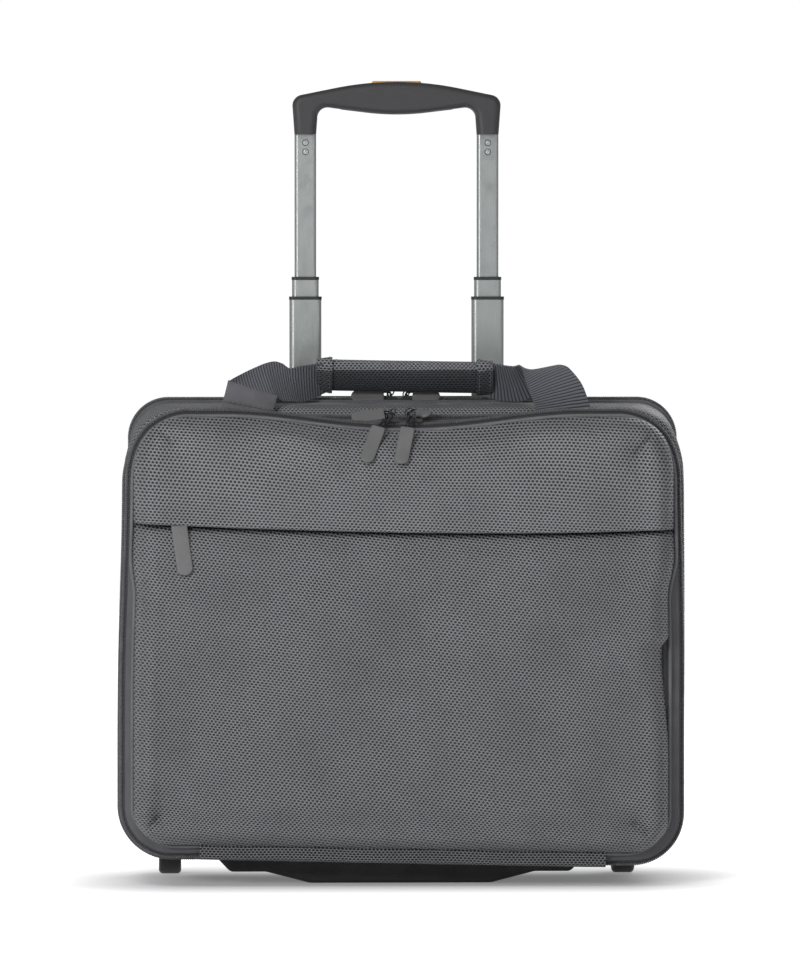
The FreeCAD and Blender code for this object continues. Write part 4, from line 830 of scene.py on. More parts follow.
def zip_tape(edge, parting, dip, rise):
    """A zip's tape from the edge it is sewn to, at stand-off dip, up to the parting at stand-off rise,
    and round to its inside."""
    near = 0.00035 if parting > edge else -0.00035
    way = np.sign(parting - edge)
    outer = [(edge, dip), (edge + way * 0.0012, dip + 0.0007),
             (edge + way * 0.0030, mix(dip, rise, 0.35) + 0.0006),
             (parting - way * 0.0028, mix(dip, rise, 0.75) + 0.0001), (parting - near, rise)]
    inner = [(parting - near, rise - 0.0011), (edge + way * 0.0020, mix(dip, rise, 0.2) - 0.0012),
             (edge, dip - 0.0010)]
    return above_hinge(band(rounded(outer + inner, 0.0006, 3), closed=True, turned=way > 0))


def sewn_round(depth, out):
    """A row of stitches round the case at a depth and stand-off."""
    ring = settle(outline([depth, depth, depth], [out, out + 0.001, out], FINE))
    outward = ring[1] - ring[0]
    outward[:, 1] = 0.0
    return above_hinge(stitch_run(ring[0], outward, radius=0.00026, finish=1))


ZIPS = (
    ("front_zip", "lid", "front_zip_lid_half", "document_section", "front_zip_case_half",
     LID_EDGE, -0.0034, TRAY_LOW.y, 0.0002, -0.0008),
    ("middle_zip", "document_section", "middle_zip_front_half", "main_section",
     "middle_zip_back_half", TRAY_HIGH.y, 0.0, MAIN_LOW.y, 0.0014, 0.0008),
    ("rear_zip", "main_section", "rear_zip_front_half", "rear_section", "rear_zip_back_half",
     MAIN_HIGH.y, 0.0004, REAR_LOW.y, 0.0004, 0.0008),
)
for (title, front_body, front_node, back_body, back_node, front_edge, front_dip, back_edge, back_dip,
     rise) in ZIPS:
    parting = 0.5 * (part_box(front_node)[1].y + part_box(back_node)[0].y)
    for side, own_body, own_node, edge, dip, way in (
            ("front", front_body, front_node, front_edge, front_dip, -1),
            ("back", back_body, back_node, back_edge, back_dip, 1)):
        build("%s_%s_half" % (title, side),
              [zip_tape(edge, parting, dip, rise), zip_coil(parting, way, 0 if way < 0 else 1, rise),
               sewn_round(edge - way * 0.0022, mix(dip, rise, 0.3) + 0.0008),
               sewn_round(parting + way * 0.0030, mix(rise, dip, 0.3) + 0.0004)],
              (TAPE, THREAD, COIL), own_body, (own_node,))


# --- the sections ----------------------------------------------------------------------------

def slack(amount, crest=0.0):
    """A ripple for a side wall: it bows out by amount between its seams, less at the corners, with
    waves along it. Above half height the cloth also rears up by crest just behind its front seam."""
    def ripple(rings, profile):
        t = (profile[:, 0] - profile[:, 0].min()) / np.ptp(profile[:, 0])
        bow = (np.sin(np.pi * t) ** 0.7)[:, None]
        x, z = rings[..., 0], rings[..., 2]
        side = smooth((np.abs(x) - 0.17) / 0.03) * smooth((z - 0.05) / 0.05) * smooth((0.33 - z) / 0.05)
        top = smooth((z - 0.33) / 0.015) * smooth((0.16 - np.abs(x)) / 0.05)
        wave = 0.75 + 0.25 * np.sin(34 * z + 20 * rings[..., 1]) * np.sin(27 * x + 1.3)
        rings = rings.copy()
        reared = (crest * smooth(t / 0.20) * (1 - smooth((t - 0.2) / 0.8)))[:, None]
        reared = reared * smooth((z - 0.20) / 0.10)
        rings[..., 2] += reared * smooth((z - 0.325) / 0.02)
        rings[..., 0] += 0.6 * reared * np.sign(x) * smooth((np.abs(x) - 0.18) / 0.02)
        rings[..., 0] += np.sign(x) * amount * bow * side * wave
        rings[..., 2] += 0.4 * amount * bow * top * wave
        return rings
    return ripple


def wall_profile(low, high, count, dips=0.0):
    """Evenly spaced depths from low to high at stand-off 0, a little sunk at both seams."""
    depth = np.linspace(low, high, count)
    t = (depth - low) / (high - low)
    sink = -dips * (bump(t, 0, 0.05) + bump(t, 1, 0.05))
    return np.stack([depth, sink], -1)


def edging_roll(seam, way):
    """The rolled edging where a wall meets a zip. The wall lies behind the seam if way is 1, and in
    front of it if way is -1."""
    roll = [(seam + way * 0.0008, -FABRIC), (seam, -0.0018), (seam, 0.0002),
            (seam + way * 0.0018, 0.0010), (seam + way * 0.0036, 0.0008), (seam + way * 0.0042, -0.0006)]
    return rounded(roll[::way], 0.0012)


def document_tray():
    """A shallow tray: a smooth band outside, and a lined front and back wall."""
    low, high = TRAY_LOW.y, TRAY_HIGH.y
    outer = wall_profile(low, high, 9, 0.0008)
    front_rim = [(high - 0.0030, -0.0032), (low + 0.0006, -0.0030), (low, -0.0015), (low, 0.0)]
    front = settle(outline(*np.transpose(rounded(front_rim, 0.0008))))
    back = settle(outline([high, high + 0.0001, high], [0.0, -0.0012, -0.003]))
    return [band(outer), patch(front, closed=(False, True), turned=True, finish=1),
            patch(back, closed=(False, True), turned=True, finish=1),
            cap(front[0], 14, turned=False, finish=1, swell=-0.0004),
            cap(back[-1], 14, turned=True, finish=1, swell=0.0004)]


def main_wall():
    """The main section's wall: mesh cloth outside, a smooth edging by each zip, lining inside."""
    low, high = MAIN_LOW.y, MAIN_HIGH.y
    outer = wall_profile(low + 0.0030, high - 0.0030, 33, 0.0010)
    inner = wall_profile(low + 0.0008, high - 0.0008, 9)[::-1] - [0, FABRIC]
    return [band(outer, ripple=slack(0.0016, 0.0036)), band(inner, finish=2),
            band(edging_roll(low, 1), finish=1), band(edging_roll(high, -1), finish=1)]


build("document_tray", document_tray(), (NYLON, LINING), "document_section",
      ("document_shell",))
build("main_wall", main_wall(), (LIGHT_MESH, NYLON, LINING), "main_section",
      ("main_shell",))


def padded_divider():
    """The padded wall in front of the laptop: both faces crowned by 1.5 mm, with a bound rim."""
    low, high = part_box("laptop_divider")
    half_deep = 0.5 * (high.y - low.y)
    middle = 0.5 * (high.y + low.y)
    rim = rounded([(middle - half_deep + 0.0012, -0.0120), (middle - half_deep + 0.0008, -0.0040),
                   (middle - 0.0012, -0.0034), (middle + 0.0012, -0.0034),
                   (middle + half_deep - 0.0008, -0.0040), (middle + half_deep - 0.0012, -0.0120)], 0.0012)
    rings = outline(np.full(len(rim), MAIN_LOW.y), rim[:, 1])
    rings[..., 1] = rim[:, :1]
    rings[..., 2] = np.minimum(rings[..., 2], high.z)
    rings = settle(rings)
    return [patch(rings, closed=(False, True), finish=1),
            cap(rings[0], 20, finish=0, swell=-0.0010), cap(rings[-1], 20, turned=True, swell=0.0010)]


divider = build("padded_divider", padded_divider(), (LINING, NYLON), "main_section",
                ("laptop_divider",), weld=1e-6)


def opened(part):
    """Leaves out the faces under the bezel's lip, where the pull handle goes down into the case."""
    low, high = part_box("top_bezel")
    corners, faces, places, numbers = part
    middle = corners[faces].mean(1)
    cut = ((np.abs(middle[:, 0]) < high.x - 0.0020) & (middle[:, 1] > low.y + 0.0016)
           & (middle[:, 1] < high.y - 0.0016) & (middle[:, 2] > 0.5 * REAR_HIGH.z))
    return corners, faces[~cut], places[~cut], numbers[~cut]


def rear_tray():
    """The rear section: mesh sides, an edging by the zip, a rolled seam and a padded back face."""
    low, high = REAR_LOW.y, REAR_HIGH.y
    outer = wall_profile(low + 0.0030, high - 0.0035, 41, 0.0008)
    piping = np.array([high - 0.0022, -0.0012]) + oval(0.0022, 0.0022, 12)
    face = rounded([(high - 0.0040, -0.0020), (high - 0.0012, -0.0034), (high - 0.0004, -0.0090)], 0.003)
    face_rings = settle(outline(face[:, 0], face[:, 1]))
    inner = wall_profile(low + 0.0008, high - 0.0034, 21) - [0, FABRIC]
    inner_rings = settle(outline(inner[:, 0], inner[:, 1], FINE))
    return [opened(band(outer, stations=FINE, ripple=slack(0.0010))), band(edging_roll(low, 1), finish=1),
            band(piping, True, finish=1),
            patch(face_rings, closed=(False, True), turned=True),
            cap(face_rings[-1], 24, turned=True, swell=0.0012),
            opened(patch(inner_rings, closed=(False, True), turned=False, finish=2)),
            cap(inner_rings[-1], 16, finish=2)]


build("rear_tray", rear_tray(), (LIGHT_MESH, NYLON, LINING), "rear_section",
      ("rear_shell",))


# --- the zips' pulls --------------------------------------------------------------------------

def pull_tab(root, tip, across, half_width, half_thick, finish=0):
    """A moulded tab from root to tip: square shoulders at the root, half round at the tip. Each
    point lies at spine + s*(outline - spine) + h*normal, where s and h run round a superellipse
    |s|^4 + |h/thick|^4 = 1, so that both faces are flat and the edge is soft."""
    root, tip = np.array(root), np.array(tip)
    length = np.linalg.norm(tip - root)
    ahead = (tip - root) / length
    across = np.array(across, float) - np.dot(across, ahead) * ahead
    across /= np.linalg.norm(across)
    normal = np.cross(ahead, across)
    turn = np.linspace(-0.5 * np.pi, 0.5 * np.pi, 20)
    nose = np.stack([length - half_width + half_width * np.cos(turn), half_width * np.sin(turn)], -1)
    corner = 0.0014
    quarter = np.linspace(0, 0.5 * np.pi, 6)
    heel = np.stack([corner - corner * np.sin(quarter), half_width - corner + corner * np.cos(quarter)], -1)
    mirrored = heel[::-1] * [1, -1]
    outline_here = even(np.vstack([nose, heel, mirrored]), 64, True)
    spine = np.stack([np.clip(outline_here[:, 0], half_width, length - half_width),
                      np.zeros(64)], -1)
    a = np.linspace(-0.5 * np.pi, 0.5 * np.pi, 17)[:, None, None]
    s = np.abs(np.cos(a)) ** 0.5
    h = np.sign(np.sin(a)) * np.abs(np.sin(a)) ** 0.5
    flat = spine[None] + s * (outline_here - spine)[None]
    rim = bump(s, 0.90, 0.06) * 0.00018
    lift = h * half_thick + np.sign(h) * rim
    points = root + flat[..., :1] * ahead + flat[..., 1:] * across + lift * normal
    return patch(points, closed=(False, True), finish=finish)


def wire_loop(first, last, across, half_wide, radius=0.00055, finish=1):
    """A loop of wire round two places: an ellipse in the plane of the line between them."""
    first, last = np.array(first), np.array(last)
    middle, ahead = 0.5 * (first + last), 0.5 * (last - first)
    reach = np.linalg.norm(ahead)
    ahead = ahead / reach
    across = np.array(across, float) - np.dot(across, ahead) * ahead
    across /= np.linalg.norm(across)
    a = np.linspace(0, 2 * np.pi, 36, endpoint=False)[:, None]
    path = middle + (reach + 0.0008) * np.cos(a) * ahead + half_wide * np.sin(a) * across
    along = np.roll(path, -1, 0) - np.roll(path, 1, 0)
    along /= np.linalg.norm(along, axis=1, keepdims=True)
    normal = np.cross(ahead, across)[None].repeat(36, 0)
    return carried(path, oval(radius, radius, 8), np.cross(along, normal), normal, closed=True,
                   finish=finish)


def on_front(x, z, proud):
    """A place on the settled front, stood off by proud."""
    place = settle(np.array([[x, float(front_surface(np.array(x), np.array(z))), z]]))[0]
    return place - [0, proud, 0]


def pull(name, body, node, eye, root, tip, across, half_width=0.0050, half_thick=0.00125):
    """A zip pull: a loop of wire from the slider's eye to the tab, and a small ring at the eye."""
    root, tip, eye = np.array(root), np.array(tip), np.array(eye)
    inward = root + 0.0030 * (tip - root) / np.linalg.norm(tip - root)
    parts = [pull_tab(root, tip, across, half_width, half_thick),
             wire_loop(eye, inward, across, 0.0024),
             wire_loop(eye - [0.0016, 0, 0.0004], eye + [0.0016, 0, 0.0026], (0, 0.2, 1), 0.0019, 0.0005),
             wire_loop(mix(eye, inward, 0.30), mix(eye, inward, 0.85), (0.4, 0.3, 1), 0.0024, 0.0005)]
    build(name, parts, (TAB, SLIDER), body, (node,), weld=1e-7)


pull("front_tab_left", "front_pull_left", "front_zip_pull_left", (-0.0090, -0.0640, 0.3515),
     (-0.0180, -0.0870, 0.3445), on_front(-0.0300, 0.3185, 0.0058), (1, 0, 0), 0.0054)
pull("front_tab_right", "front_pull_right", "front_zip_pull_right", (0.0075, -0.0640, 0.3515),
     (0.0035, -0.0870, 0.3440), on_front(-0.0035, 0.3180, 0.0058), (1, 0, 0), 0.0054)
pull("middle_tab_left", "middle_pull_left", "middle_zip_pull_left", (-0.0065, -0.0400, 0.3535),
     (-0.0125, -0.0430, 0.3530), (-0.0375, -0.0450, 0.3502), (0, 0.55, 0.83))
pull("middle_tab_right", "middle_pull_right", "middle_zip_pull_right", (0.0055, -0.0400, 0.3540),
     (0.0095, -0.0430, 0.3545), (0.0205, -0.0600, 0.3528), (0.8, 0.45, 0.43))
pull("rear_tab_left", "rear_pull_left", "rear_zip_pull_left", (-0.0060, 0.0240, 0.3665),
     (-0.0110, 0.0215, 0.3662), (-0.0360, 0.0205, 0.3650), (0, 0.50, 0.86), 0.0050)
pull("rear_tab_right", "rear_pull_right", "rear_zip_pull_right", (0.0060, 0.0240, 0.3665),
     (0.0105, 0.0215, 0.3660), (0.0315, 0.0190, 0.3645), (0, 0.50, 0.86), 0.0050)

POCKET_X = 0.5 * (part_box("pocket_zip_slider")[0].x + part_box("pocket_zip_slider")[1].x)
pull("pocket_tab", "pocket_pull", "pocket_zip_pull", on_front(POCKET_X, 0.2765, -0.0016),
     on_front(POCKET_X - 0.0002, 0.2735, 0.0002), on_front(POCKET_X + 0.0062, 0.2345, 0.0024), (1, 0, 0),
     0.0060, 0.0013)
build("pocket_zip_runner",
      [pull_tab(on_front(POCKET_X, 0.2725, -0.0030), on_front(POCKET_X, 0.2815, -0.0030), (1, 0, 0),
                0.0040, 0.0011, finish=0)], (SLIDER,), "pocket_slider", ("pocket_zip_slider",))


def pocket_zip():
    """The pocket's zip behind the flap: a dark tape along the mouth with a coil at its edge, the coil
    coloured like the dark thread as painted shade in the mouth under the flap.
    """
    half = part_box("pocket_zip_tapes")[1].x
    x = np.linspace(-half, half, 700)
    step = np.array([-0.0010, 0.0, 0.0015, 0.0040, 0.0065])[:, None]
    z = slit_at(x)[None] + step
    wide = np.broadcast_to(x, z.shape)
    tape = settle(np.stack([wide, front_surface(wide, z) + 0.0064, z], -1))
    path = tape[1] + [0, -0.0006, 0]
    tooth = np.abs(np.cos(np.pi * np.linspace(-half, half, 700) / COIL_PITCH))
    up, out = np.array([0, 0, 1.0]), np.array([0, -1.0, 0])
    points = bead(path, 0.0008 + 0.0004 * tooth, 0.0005 + 0.0004 * tooth, up, out)
    back = tape + [0, 0.0006, 0]
    return [patch(tape), patch(back, turned=True), patch(points, closed=(True, False), finish=1)]


# The pocket zip's coil takes the dark thread's colour as painted shade in the mouth.
build("pocket_zip", pocket_zip(), (LINING, THREAD), "lid", ("pocket_zip_tapes",))


# --- hinge strips ----------------------------------------------------------------------------

CLOTH_COLUMNS, STRAP_ROWS = 90, 11
STRIP_THICK = 0.0012

def hinge_strip(profile):
    """A strip of mesh under the case: its profile of (depth, height) points is carried across X,
    settled like the case's base, with folded ends."""
    across = np.linspace(-HINGE_HALF, HINGE_HALF, CLOTH_COLUMNS)
    line = rounded(profile, 0.004, 7)
    x, y = np.meshgrid(across, line[:, 0])
    z = np.broadcast_to(line[:, 1:], x.shape) + 0.0004 * np.sin(60 * x) * np.sin(300 * y)
    outer = settle(np.stack([x, y, z], -1))
    way = np.gradient(line, axis=0)
    way /= np.linalg.norm(way, axis=1, keepdims=True)
    inner = outer - STRIP_THICK * np.stack([np.zeros_like(x), np.broadcast_to(way[:, 1:], x.shape),
                                           np.broadcast_to(-way[:, :1], x.shape)], -1)
    v = np.broadcast_to(travelled(line)[:, None], x.shape)
    uv = np.stack([x, v], -1)
    return [patch(outer, uv), patch(inner, uv, turned=True), edge_wall(outer, inner)]


def strip_between(name, node, start_y, end_y, hinge_y, front_rise):
    """A hinge strip that follows one section in front of its hinge and the next behind it."""
    profile = [(start_y, BASE + front_rise), (start_y + 0.003, BASE - 0.0016),
               (hinge_y, BASE - 0.0022), (end_y, BASE - 0.0010)]
    parts = hinge_strip(profile)
    strip = build(name, parts, (OPEN_MESH,), None, (node,))
    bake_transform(strip)


strip_between("front_strip", "front_hinge_strip",
              LID_EDGE - 0.0090, TRAY_LOW.y + 0.003, 0.5 * (LID_EDGE + TRAY_LOW.y), 0.0135)
strip_between("middle_strip", "middle_hinge_strip",
              TRAY_HIGH.y - 0.002, MAIN_LOW.y + 0.002, 0.5 * (TRAY_HIGH.y + MAIN_LOW.y), -0.001)
strip_between("rear_strip", "rear_hinge_strip",
              MAIN_HIGH.y - 0.002, REAR_LOW.y + 0.002, 0.5 * (MAIN_HIGH.y + REAR_LOW.y), -0.001)


# --- the carrying handle ---------------------------------------------------------------------

WRAP_LOW, WRAP_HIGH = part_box("handle_wrap")
LEAN = math.radians(43)
WRAP_MIDDLE = np.array([0.0, 0.5 * (WRAP_LOW.y + WRAP_HIGH.y), 0.5 * (WRAP_LOW.z + WRAP_HIGH.z) + 0.0014])
WRAP_UP = np.array([0.0, -math.sin(LEAN), math.cos(LEAN)])
WRAP_FACE = np.array([0.0, -math.cos(LEAN), -math.sin(LEAN)])
WRAP_ENDS = (WRAP_LOW.x + 0.004, WRAP_HIGH.x + 0.004)
WRAP_HALF_WIDTH, WRAP_HALF_DEPTH = 0.0151, 0.0060
# Faces above this line on the wrap's upper side take the light mesh as a painted lit rim.
WRAP_LIT_RIM = 0.70 * WRAP_HALF_WIDTH
SKIN_LIFT = 0.0016


def wrap_section(angle, half_width, half_depth):
    """Places at angles round |u/half_width|^2.6 + |w/half_depth|^2.6 = 1."""
    c, s = np.cos(angle), np.sin(angle)
    return (half_width * np.sign(c) * np.abs(c) ** (2 / 2.6),
            half_depth * np.sign(s) * np.abs(s) ** (2 / 2.6))


def wrap_shape(t, stand_off=0.0):
    """Rings of the padded wrap at shares t along it. Its width and depth shrink where the ends are
    bound, and it slopes down to the right."""
    along = mix(*WRAP_ENDS, t)[None, :, None]
    a = np.linspace(-0.9, 2 * np.pi - 0.9, 56, endpoint=False)[:, None, None]
    near_end = np.maximum(bump(t, 0.0, 0.05), bump(t, 1.0, 0.05))[None, :, None]
    wide = (WRAP_HALF_WIDTH + stand_off) * (1 - 0.05 * near_end)
    deep = (WRAP_HALF_DEPTH + stand_off) * (1 - 0.25 * near_end)
    u, w = wrap_section(a, wide, deep)
    points = WRAP_MIDDLE + u * WRAP_UP + w * WRAP_FACE + along * np.array([1.0, 0, 0])
    points[..., 2] -= 0.0022 * (t[None] - 0.2)
    return points


def padded_wrap():
    """The wrap before it is swollen, closed at both ends."""
    points = wrap_shape(np.linspace(0, 1, 60))
    return [patch(points, closed=(True, False)), disc_fan(points[:, 0], turned=False),
            disc_fan(points[:, -1], turned=True)]


def plump(thing, voxel, pressure, cap):
    """Swells a closed pad as cloth under air pressure: it is remeshed evenly, blown up for twenty
    steps with no gravity, and no point moves further than cap."""
    shape = thing.modifiers.new("even", "REMESH")
    shape.mode, shape.voxel_size = "VOXEL", voxel
    seen = thing.evaluated_get(bpy.context.evaluated_depsgraph_get())
    finishes = list(thing.data.materials)
    mesh = bpy.data.meshes.new_from_object(seen)
    thing.modifiers.clear()
    thing.data = mesh
    mesh.materials.clear()
    for material in finishes:
        mesh.materials.append(material)
    rest = np.empty(len(mesh.vertices) * 3, np.float32)
    mesh.vertices.foreach_get("co", rest)
    cloth = thing.modifiers.new("air", "CLOTH").settings
    cloth.use_pressure = True
    cloth.uniform_pressure_force = pressure
    cloth.effector_weights.gravity = 0
    cloth.quality = 6
    cloth.tension_stiffness = 25
    cloth.bending_stiffness = 1.5
    for step in range(1, 21):
        bpy.context.scene.frame_set(step)
    blown = thing.evaluated_get(bpy.context.evaluated_depsgraph_get()).data
    swollen = np.empty_like(rest)
    blown.vertices.foreach_get("co", swollen)
    move = (swollen - rest).reshape(-1, 3)
    far = np.linalg.norm(move, axis=1, keepdims=True)
    move *= np.minimum(1, cap / np.maximum(far, 1e-9))
    thing.modifiers.clear()
    mesh.vertices.foreach_set("co", (rest.reshape(-1, 3) + move).ravel())
    bpy.context.scene.frame_set(1)


def map_wrap(thing):
    """Lays the weave round the wrap, with u along X and v the length walked round its section, and gives the
    faces on its upper rim the light mesh as a painted lit side, and all others the darker copy as painted
    shade."""
    mesh = thing.data
    corners = np.empty(len(mesh.vertices) * 3, np.float32)
    mesh.vertices.foreach_get("co", corners)
    corners = corners.reshape(-1, 3)
    used = np.empty(len(mesh.loops), np.int32)
    mesh.loops.foreach_get("vertex_index", used)
    out = corners - WRAP_MIDDLE
    angle = np.arctan2(out @ WRAP_FACE / WRAP_HALF_DEPTH, out @ WRAP_UP / WRAP_HALF_WIDTH)
    turn = np.linspace(-np.pi, np.pi, 721)
    across, deep = wrap_section(turn, WRAP_HALF_WIDTH, WRAP_HALF_DEPTH)
    seen_from_middle = np.arctan2(deep / WRAP_HALF_DEPTH, across / WRAP_HALF_WIDTH)
    round_it = np.interp(angle, seen_from_middle[1:-1], travelled(np.stack([across, deep], -1))[1:-1])
    places = np.stack([corners[:, 0], round_it], -1)[used]
    layer = mesh.uv_layers.get("UVMap") or mesh.uv_layers.new(name="UVMap")
    layer.data.foreach_set("uv", places.astype(np.float32).ravel())
    middles = np.empty(len(mesh.polygons) * 3, np.float32)
    mesh.polygons.foreach_get("center", middles)
    out = middles.reshape(-1, 3) - WRAP_MIDDLE
    # Painted light: the upper rim gets the light mesh, all other faces the darker painted-shade copy.
    rim = (out @ WRAP_UP > WRAP_LIT_RIM).astype(np.int32)
    mesh.polygons.foreach_set("material_index", rim)
    mesh.polygons.foreach_set("use_smooth", np.ones(len(mesh.polygons), bool))


# The wrap wears the darker copy of the mesh as painted shade, with a painted lit rim.
wrap = build("handle_padding", padded_wrap(), (WRAP_SHADE_MESH, LIGHT_MESH), "carrying_handle",
             ("handle_wrap",), weld=1e-6)
plump(wrap, 0.0032, 4.0, 0.0016)
map_wrap(wrap)


def end_bands():
    """The bound ends of the wrap: a turned band round each, painted lighter on its upper rim as its lit
    side, with stitches along both its edges."""
    parts = []
    for low, high in ((-0.012, 0.080), (0.920, 1.012)):
        t = np.linspace(low, high, 12)
        skin = wrap_shape(t, SKIN_LIFT)
        corners, faces, places, numbers = patch(skin, closed=(True, False))
        # Painted light: the band's upper rim takes the light mesh as its lit side.
        upper = (corners[faces].mean(1) - WRAP_MIDDLE) @ WRAP_UP > WRAP_LIT_RIM
        parts.append((corners, faces, places, np.where(upper, 2, numbers)))
        inner = wrap_shape(t[[0, -1]], -0.0020)
        parts.append(patch(np.stack([skin[:, 0], inner[:, 0]], 1), closed=(True, False), turned=True))
        parts.append(patch(np.stack([skin[:, -1], inner[:, -1]], 1), closed=(True, False)))
        for share in (0.16, 0.84):
            place = mix(low, high, share)
            line = wrap_shape(np.array([place]), SKIN_LIFT + 0.0002)[:, 0]
            line = np.vstack([line, line[:1]])
            parts.append(stitch_run(line, line - WRAP_MIDDLE * [0, 1, 1] - line * [1, 0, 0],
                                    0.0024, 0.0010, 0.00036, finish=1))
    return parts


build("wrap_ends", end_bands(), (BAND_MESH, PALE_THREAD, LIGHT_MESH), "carrying_handle")


STRAP_THICK, STRAP_CROWN = 0.0016, 0.0012


def ribbon(edge_a, edge_b):
    """A strap between two edge curves: rows of points across it, with a slight crown, and its
    thickness set back along the surface's own direction."""
    a, b = curve_through(edge_a, CLOTH_COLUMNS), curve_through(edge_b, CLOTH_COLUMNS)
    t = np.linspace(0, 1, STRAP_ROWS)[:, None, None]
    face = mix(a[None], b[None], t)
    across = b - a
    ahead = np.gradient(0.5 * (a + b), axis=0)
    out = np.cross(ahead, across)
    out /= np.linalg.norm(out, axis=1, keepdims=True) + 1e-12
    face = face + STRAP_CROWN * (1 - (2 * t - 1) ** 2) * out[None]
    back = face - STRAP_THICK * out[None]
    wide = np.linalg.norm(across, axis=1).mean()
    u = np.broadcast_to(travelled(0.5 * (a + b))[None], t.shape[:1] + (CLOTH_COLUMNS,))
    v = np.broadcast_to(t[..., 0] * wide, u.shape)
    uv = np.stack([u, v], -1)
    return [patch(face, uv, turned=True), patch(back, uv), edge_wall(face, back, turned=False)]


# The straps' edges: outer and inner curves, from the roof to the wrap.
STRAP_LEFT_OUTER = [(-0.1290, -0.0270, 0.3775), (-0.1126, -0.0180, 0.3855), (-0.0980, -0.0110, 0.3913),
                    (-0.0900, -0.0085, 0.3905), (-0.0835, -0.0075, 0.3868), (-0.0749, -0.0070, 0.3887),
                    (-0.0560, -0.0062, 0.3914)]
STRAP_LEFT_INNER = [(-0.1292, -0.0272, 0.3755), (-0.1126, -0.0262, 0.3706), (-0.0955, -0.0240, 0.3650),
                    (-0.0895, -0.0180, 0.3620), (-0.0814, -0.0090, 0.3617), (-0.0717, 0.0030, 0.3620),
                    (-0.0560, 0.0140, 0.3690)]
STRAP_END_CORNERS = [(-0.1345, -0.0300, 0.3570), (-0.0970, -0.0300, 0.3515), (-0.0925, -0.0262, 0.3660),
                     (-0.1294, -0.0278, 0.3778)]
STRAP_RIGHT_OUTER = [(0.1440, -0.0285, 0.3510), (0.1420, -0.0280, 0.3600), (0.1370, -0.0260, 0.3740),
                     (0.1300, -0.0210, 0.3840), (0.1240, -0.0140, 0.3890), (0.1160, -0.0040, 0.3880),
                     (0.1080, 0.0040, 0.3750), (0.0960, 0.0080, 0.3635), (0.0820, 0.0120, 0.3625),
                     (0.0680, 0.0150, 0.3650)]
STRAP_RIGHT_INNER = [(0.1030, -0.0290, 0.3500), (0.1010, -0.0285, 0.3580), (0.0975, -0.0270, 0.3690),
                     (0.0935, -0.0240, 0.3800), (0.0915, -0.0180, 0.3875), (0.0900, -0.0110, 0.3895),
                     (0.0860, -0.0085, 0.3885), (0.0800, -0.0072, 0.3890), (0.0740, -0.0066, 0.3900),
                     (0.0680, -0.0062, 0.3912)]


def strap(name, outer, inner, node, turned):
    """A strap of webbing from the case's roof to the carrying handle, bending between the two."""
    parts = ribbon(outer, inner)
    if turned:
        parts = [(c, f[:, ::-1], p[:, ::-1], n) for c, f, p, n in parts]
    piece = build(name, parts, (WEBBING,), None, (node,))
    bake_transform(piece)


strap("strap_left", STRAP_LEFT_OUTER, STRAP_LEFT_INNER, "handle_strap_left", False)
strap("strap_right", STRAP_RIGHT_OUTER, STRAP_RIGHT_INNER, "handle_strap_right", True)


def sewn_end(corners):
    """The strap's end, folded back over itself and sewn down: a smooth four-sided lap that swells
    a little between its edges, with two rows of pale stitches by its lower edge."""
    a, b, c, d = np.array(corners)
    u, v = np.meshgrid(np.linspace(0, 1, 30), np.linspace(0, 1, 20))
    u, v = u[..., None], v[..., None]
    face = mix(mix(a, b, u), mix(d, c, u), v)
    face = face - np.array([0, 0.0016, 0]) * (np.sin(np.pi * u) ** 0.5 * np.sin(np.pi * v) ** 0.4)
    face = face + np.array([0, 0.0009, 0]) * bump(v, 0.22, 0.05)
    back = face + [0, 0.0022, 0.0006]
    runs = []
    for share in (0.17, 0.27):
        line = even(mix(face[int(share * 19)], face[int(share * 19) + 1], 0.5), 60) - [0, 0.0007, 0]
        runs.append(stitch_run(line, np.broadcast_to([0, -1.0, 0.2], line.shape), finish=1))
    uv = np.concatenate([u * 0.036, v * 0.018], -1)
    return [patch(face, uv), patch(back, uv, turned=True), edge_wall(face, back)] + runs


build("strap_left_end", sewn_end(STRAP_END_CORNERS), (STRAP_END, PALE_THREAD), "main_section")


def anchor_patch(middle_x, wide):
    """Where a strap is sewn down: a folded tab on the roof, under a box of stitches with a cross in it."""
    low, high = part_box("handle_patches")
    y = np.linspace(low.y - 0.0006, high.y, 12)
    x = np.linspace(middle_x - 0.5 * wide, middle_x + 0.5 * wide, 16)
    gx, gy = np.meshgrid(x, y)
    roof = mix(FRONT_HIGH.z, REAR_HIGH.z, (gy - MAIN_LOW.y) / (MAIN_HIGH.y - MAIN_LOW.y))
    top = settle(np.stack([gx, gy, roof + 0.0022], -1))
    under = top - [0, 0, 0.0016]
    uv = np.stack([gy, gx], -1)
    front, back, left, right = 2, 9, 2, 13
    seams = (([front, front, back, back, front], [left, right, right, left, left], 120),
             ([front, back], [left, right], 30), ([front, back], [right, left], 30))
    runs = []
    for rows, columns, count in seams:
        line = even(top[rows, columns] + [0, 0, 0.0003], count)
        runs.append(stitch_run(line, np.broadcast_to([0, 0, 1.0], line.shape), finish=1))
    return [patch(top, uv), patch(under, uv, turned=True), edge_wall(top, under)] + runs


build("strap_patches", anchor_patch(-0.116, 0.036) + anchor_patch(0.1235, 0.038), (STRAP_END, THREAD),
      "main_section", ("handle_patches",))


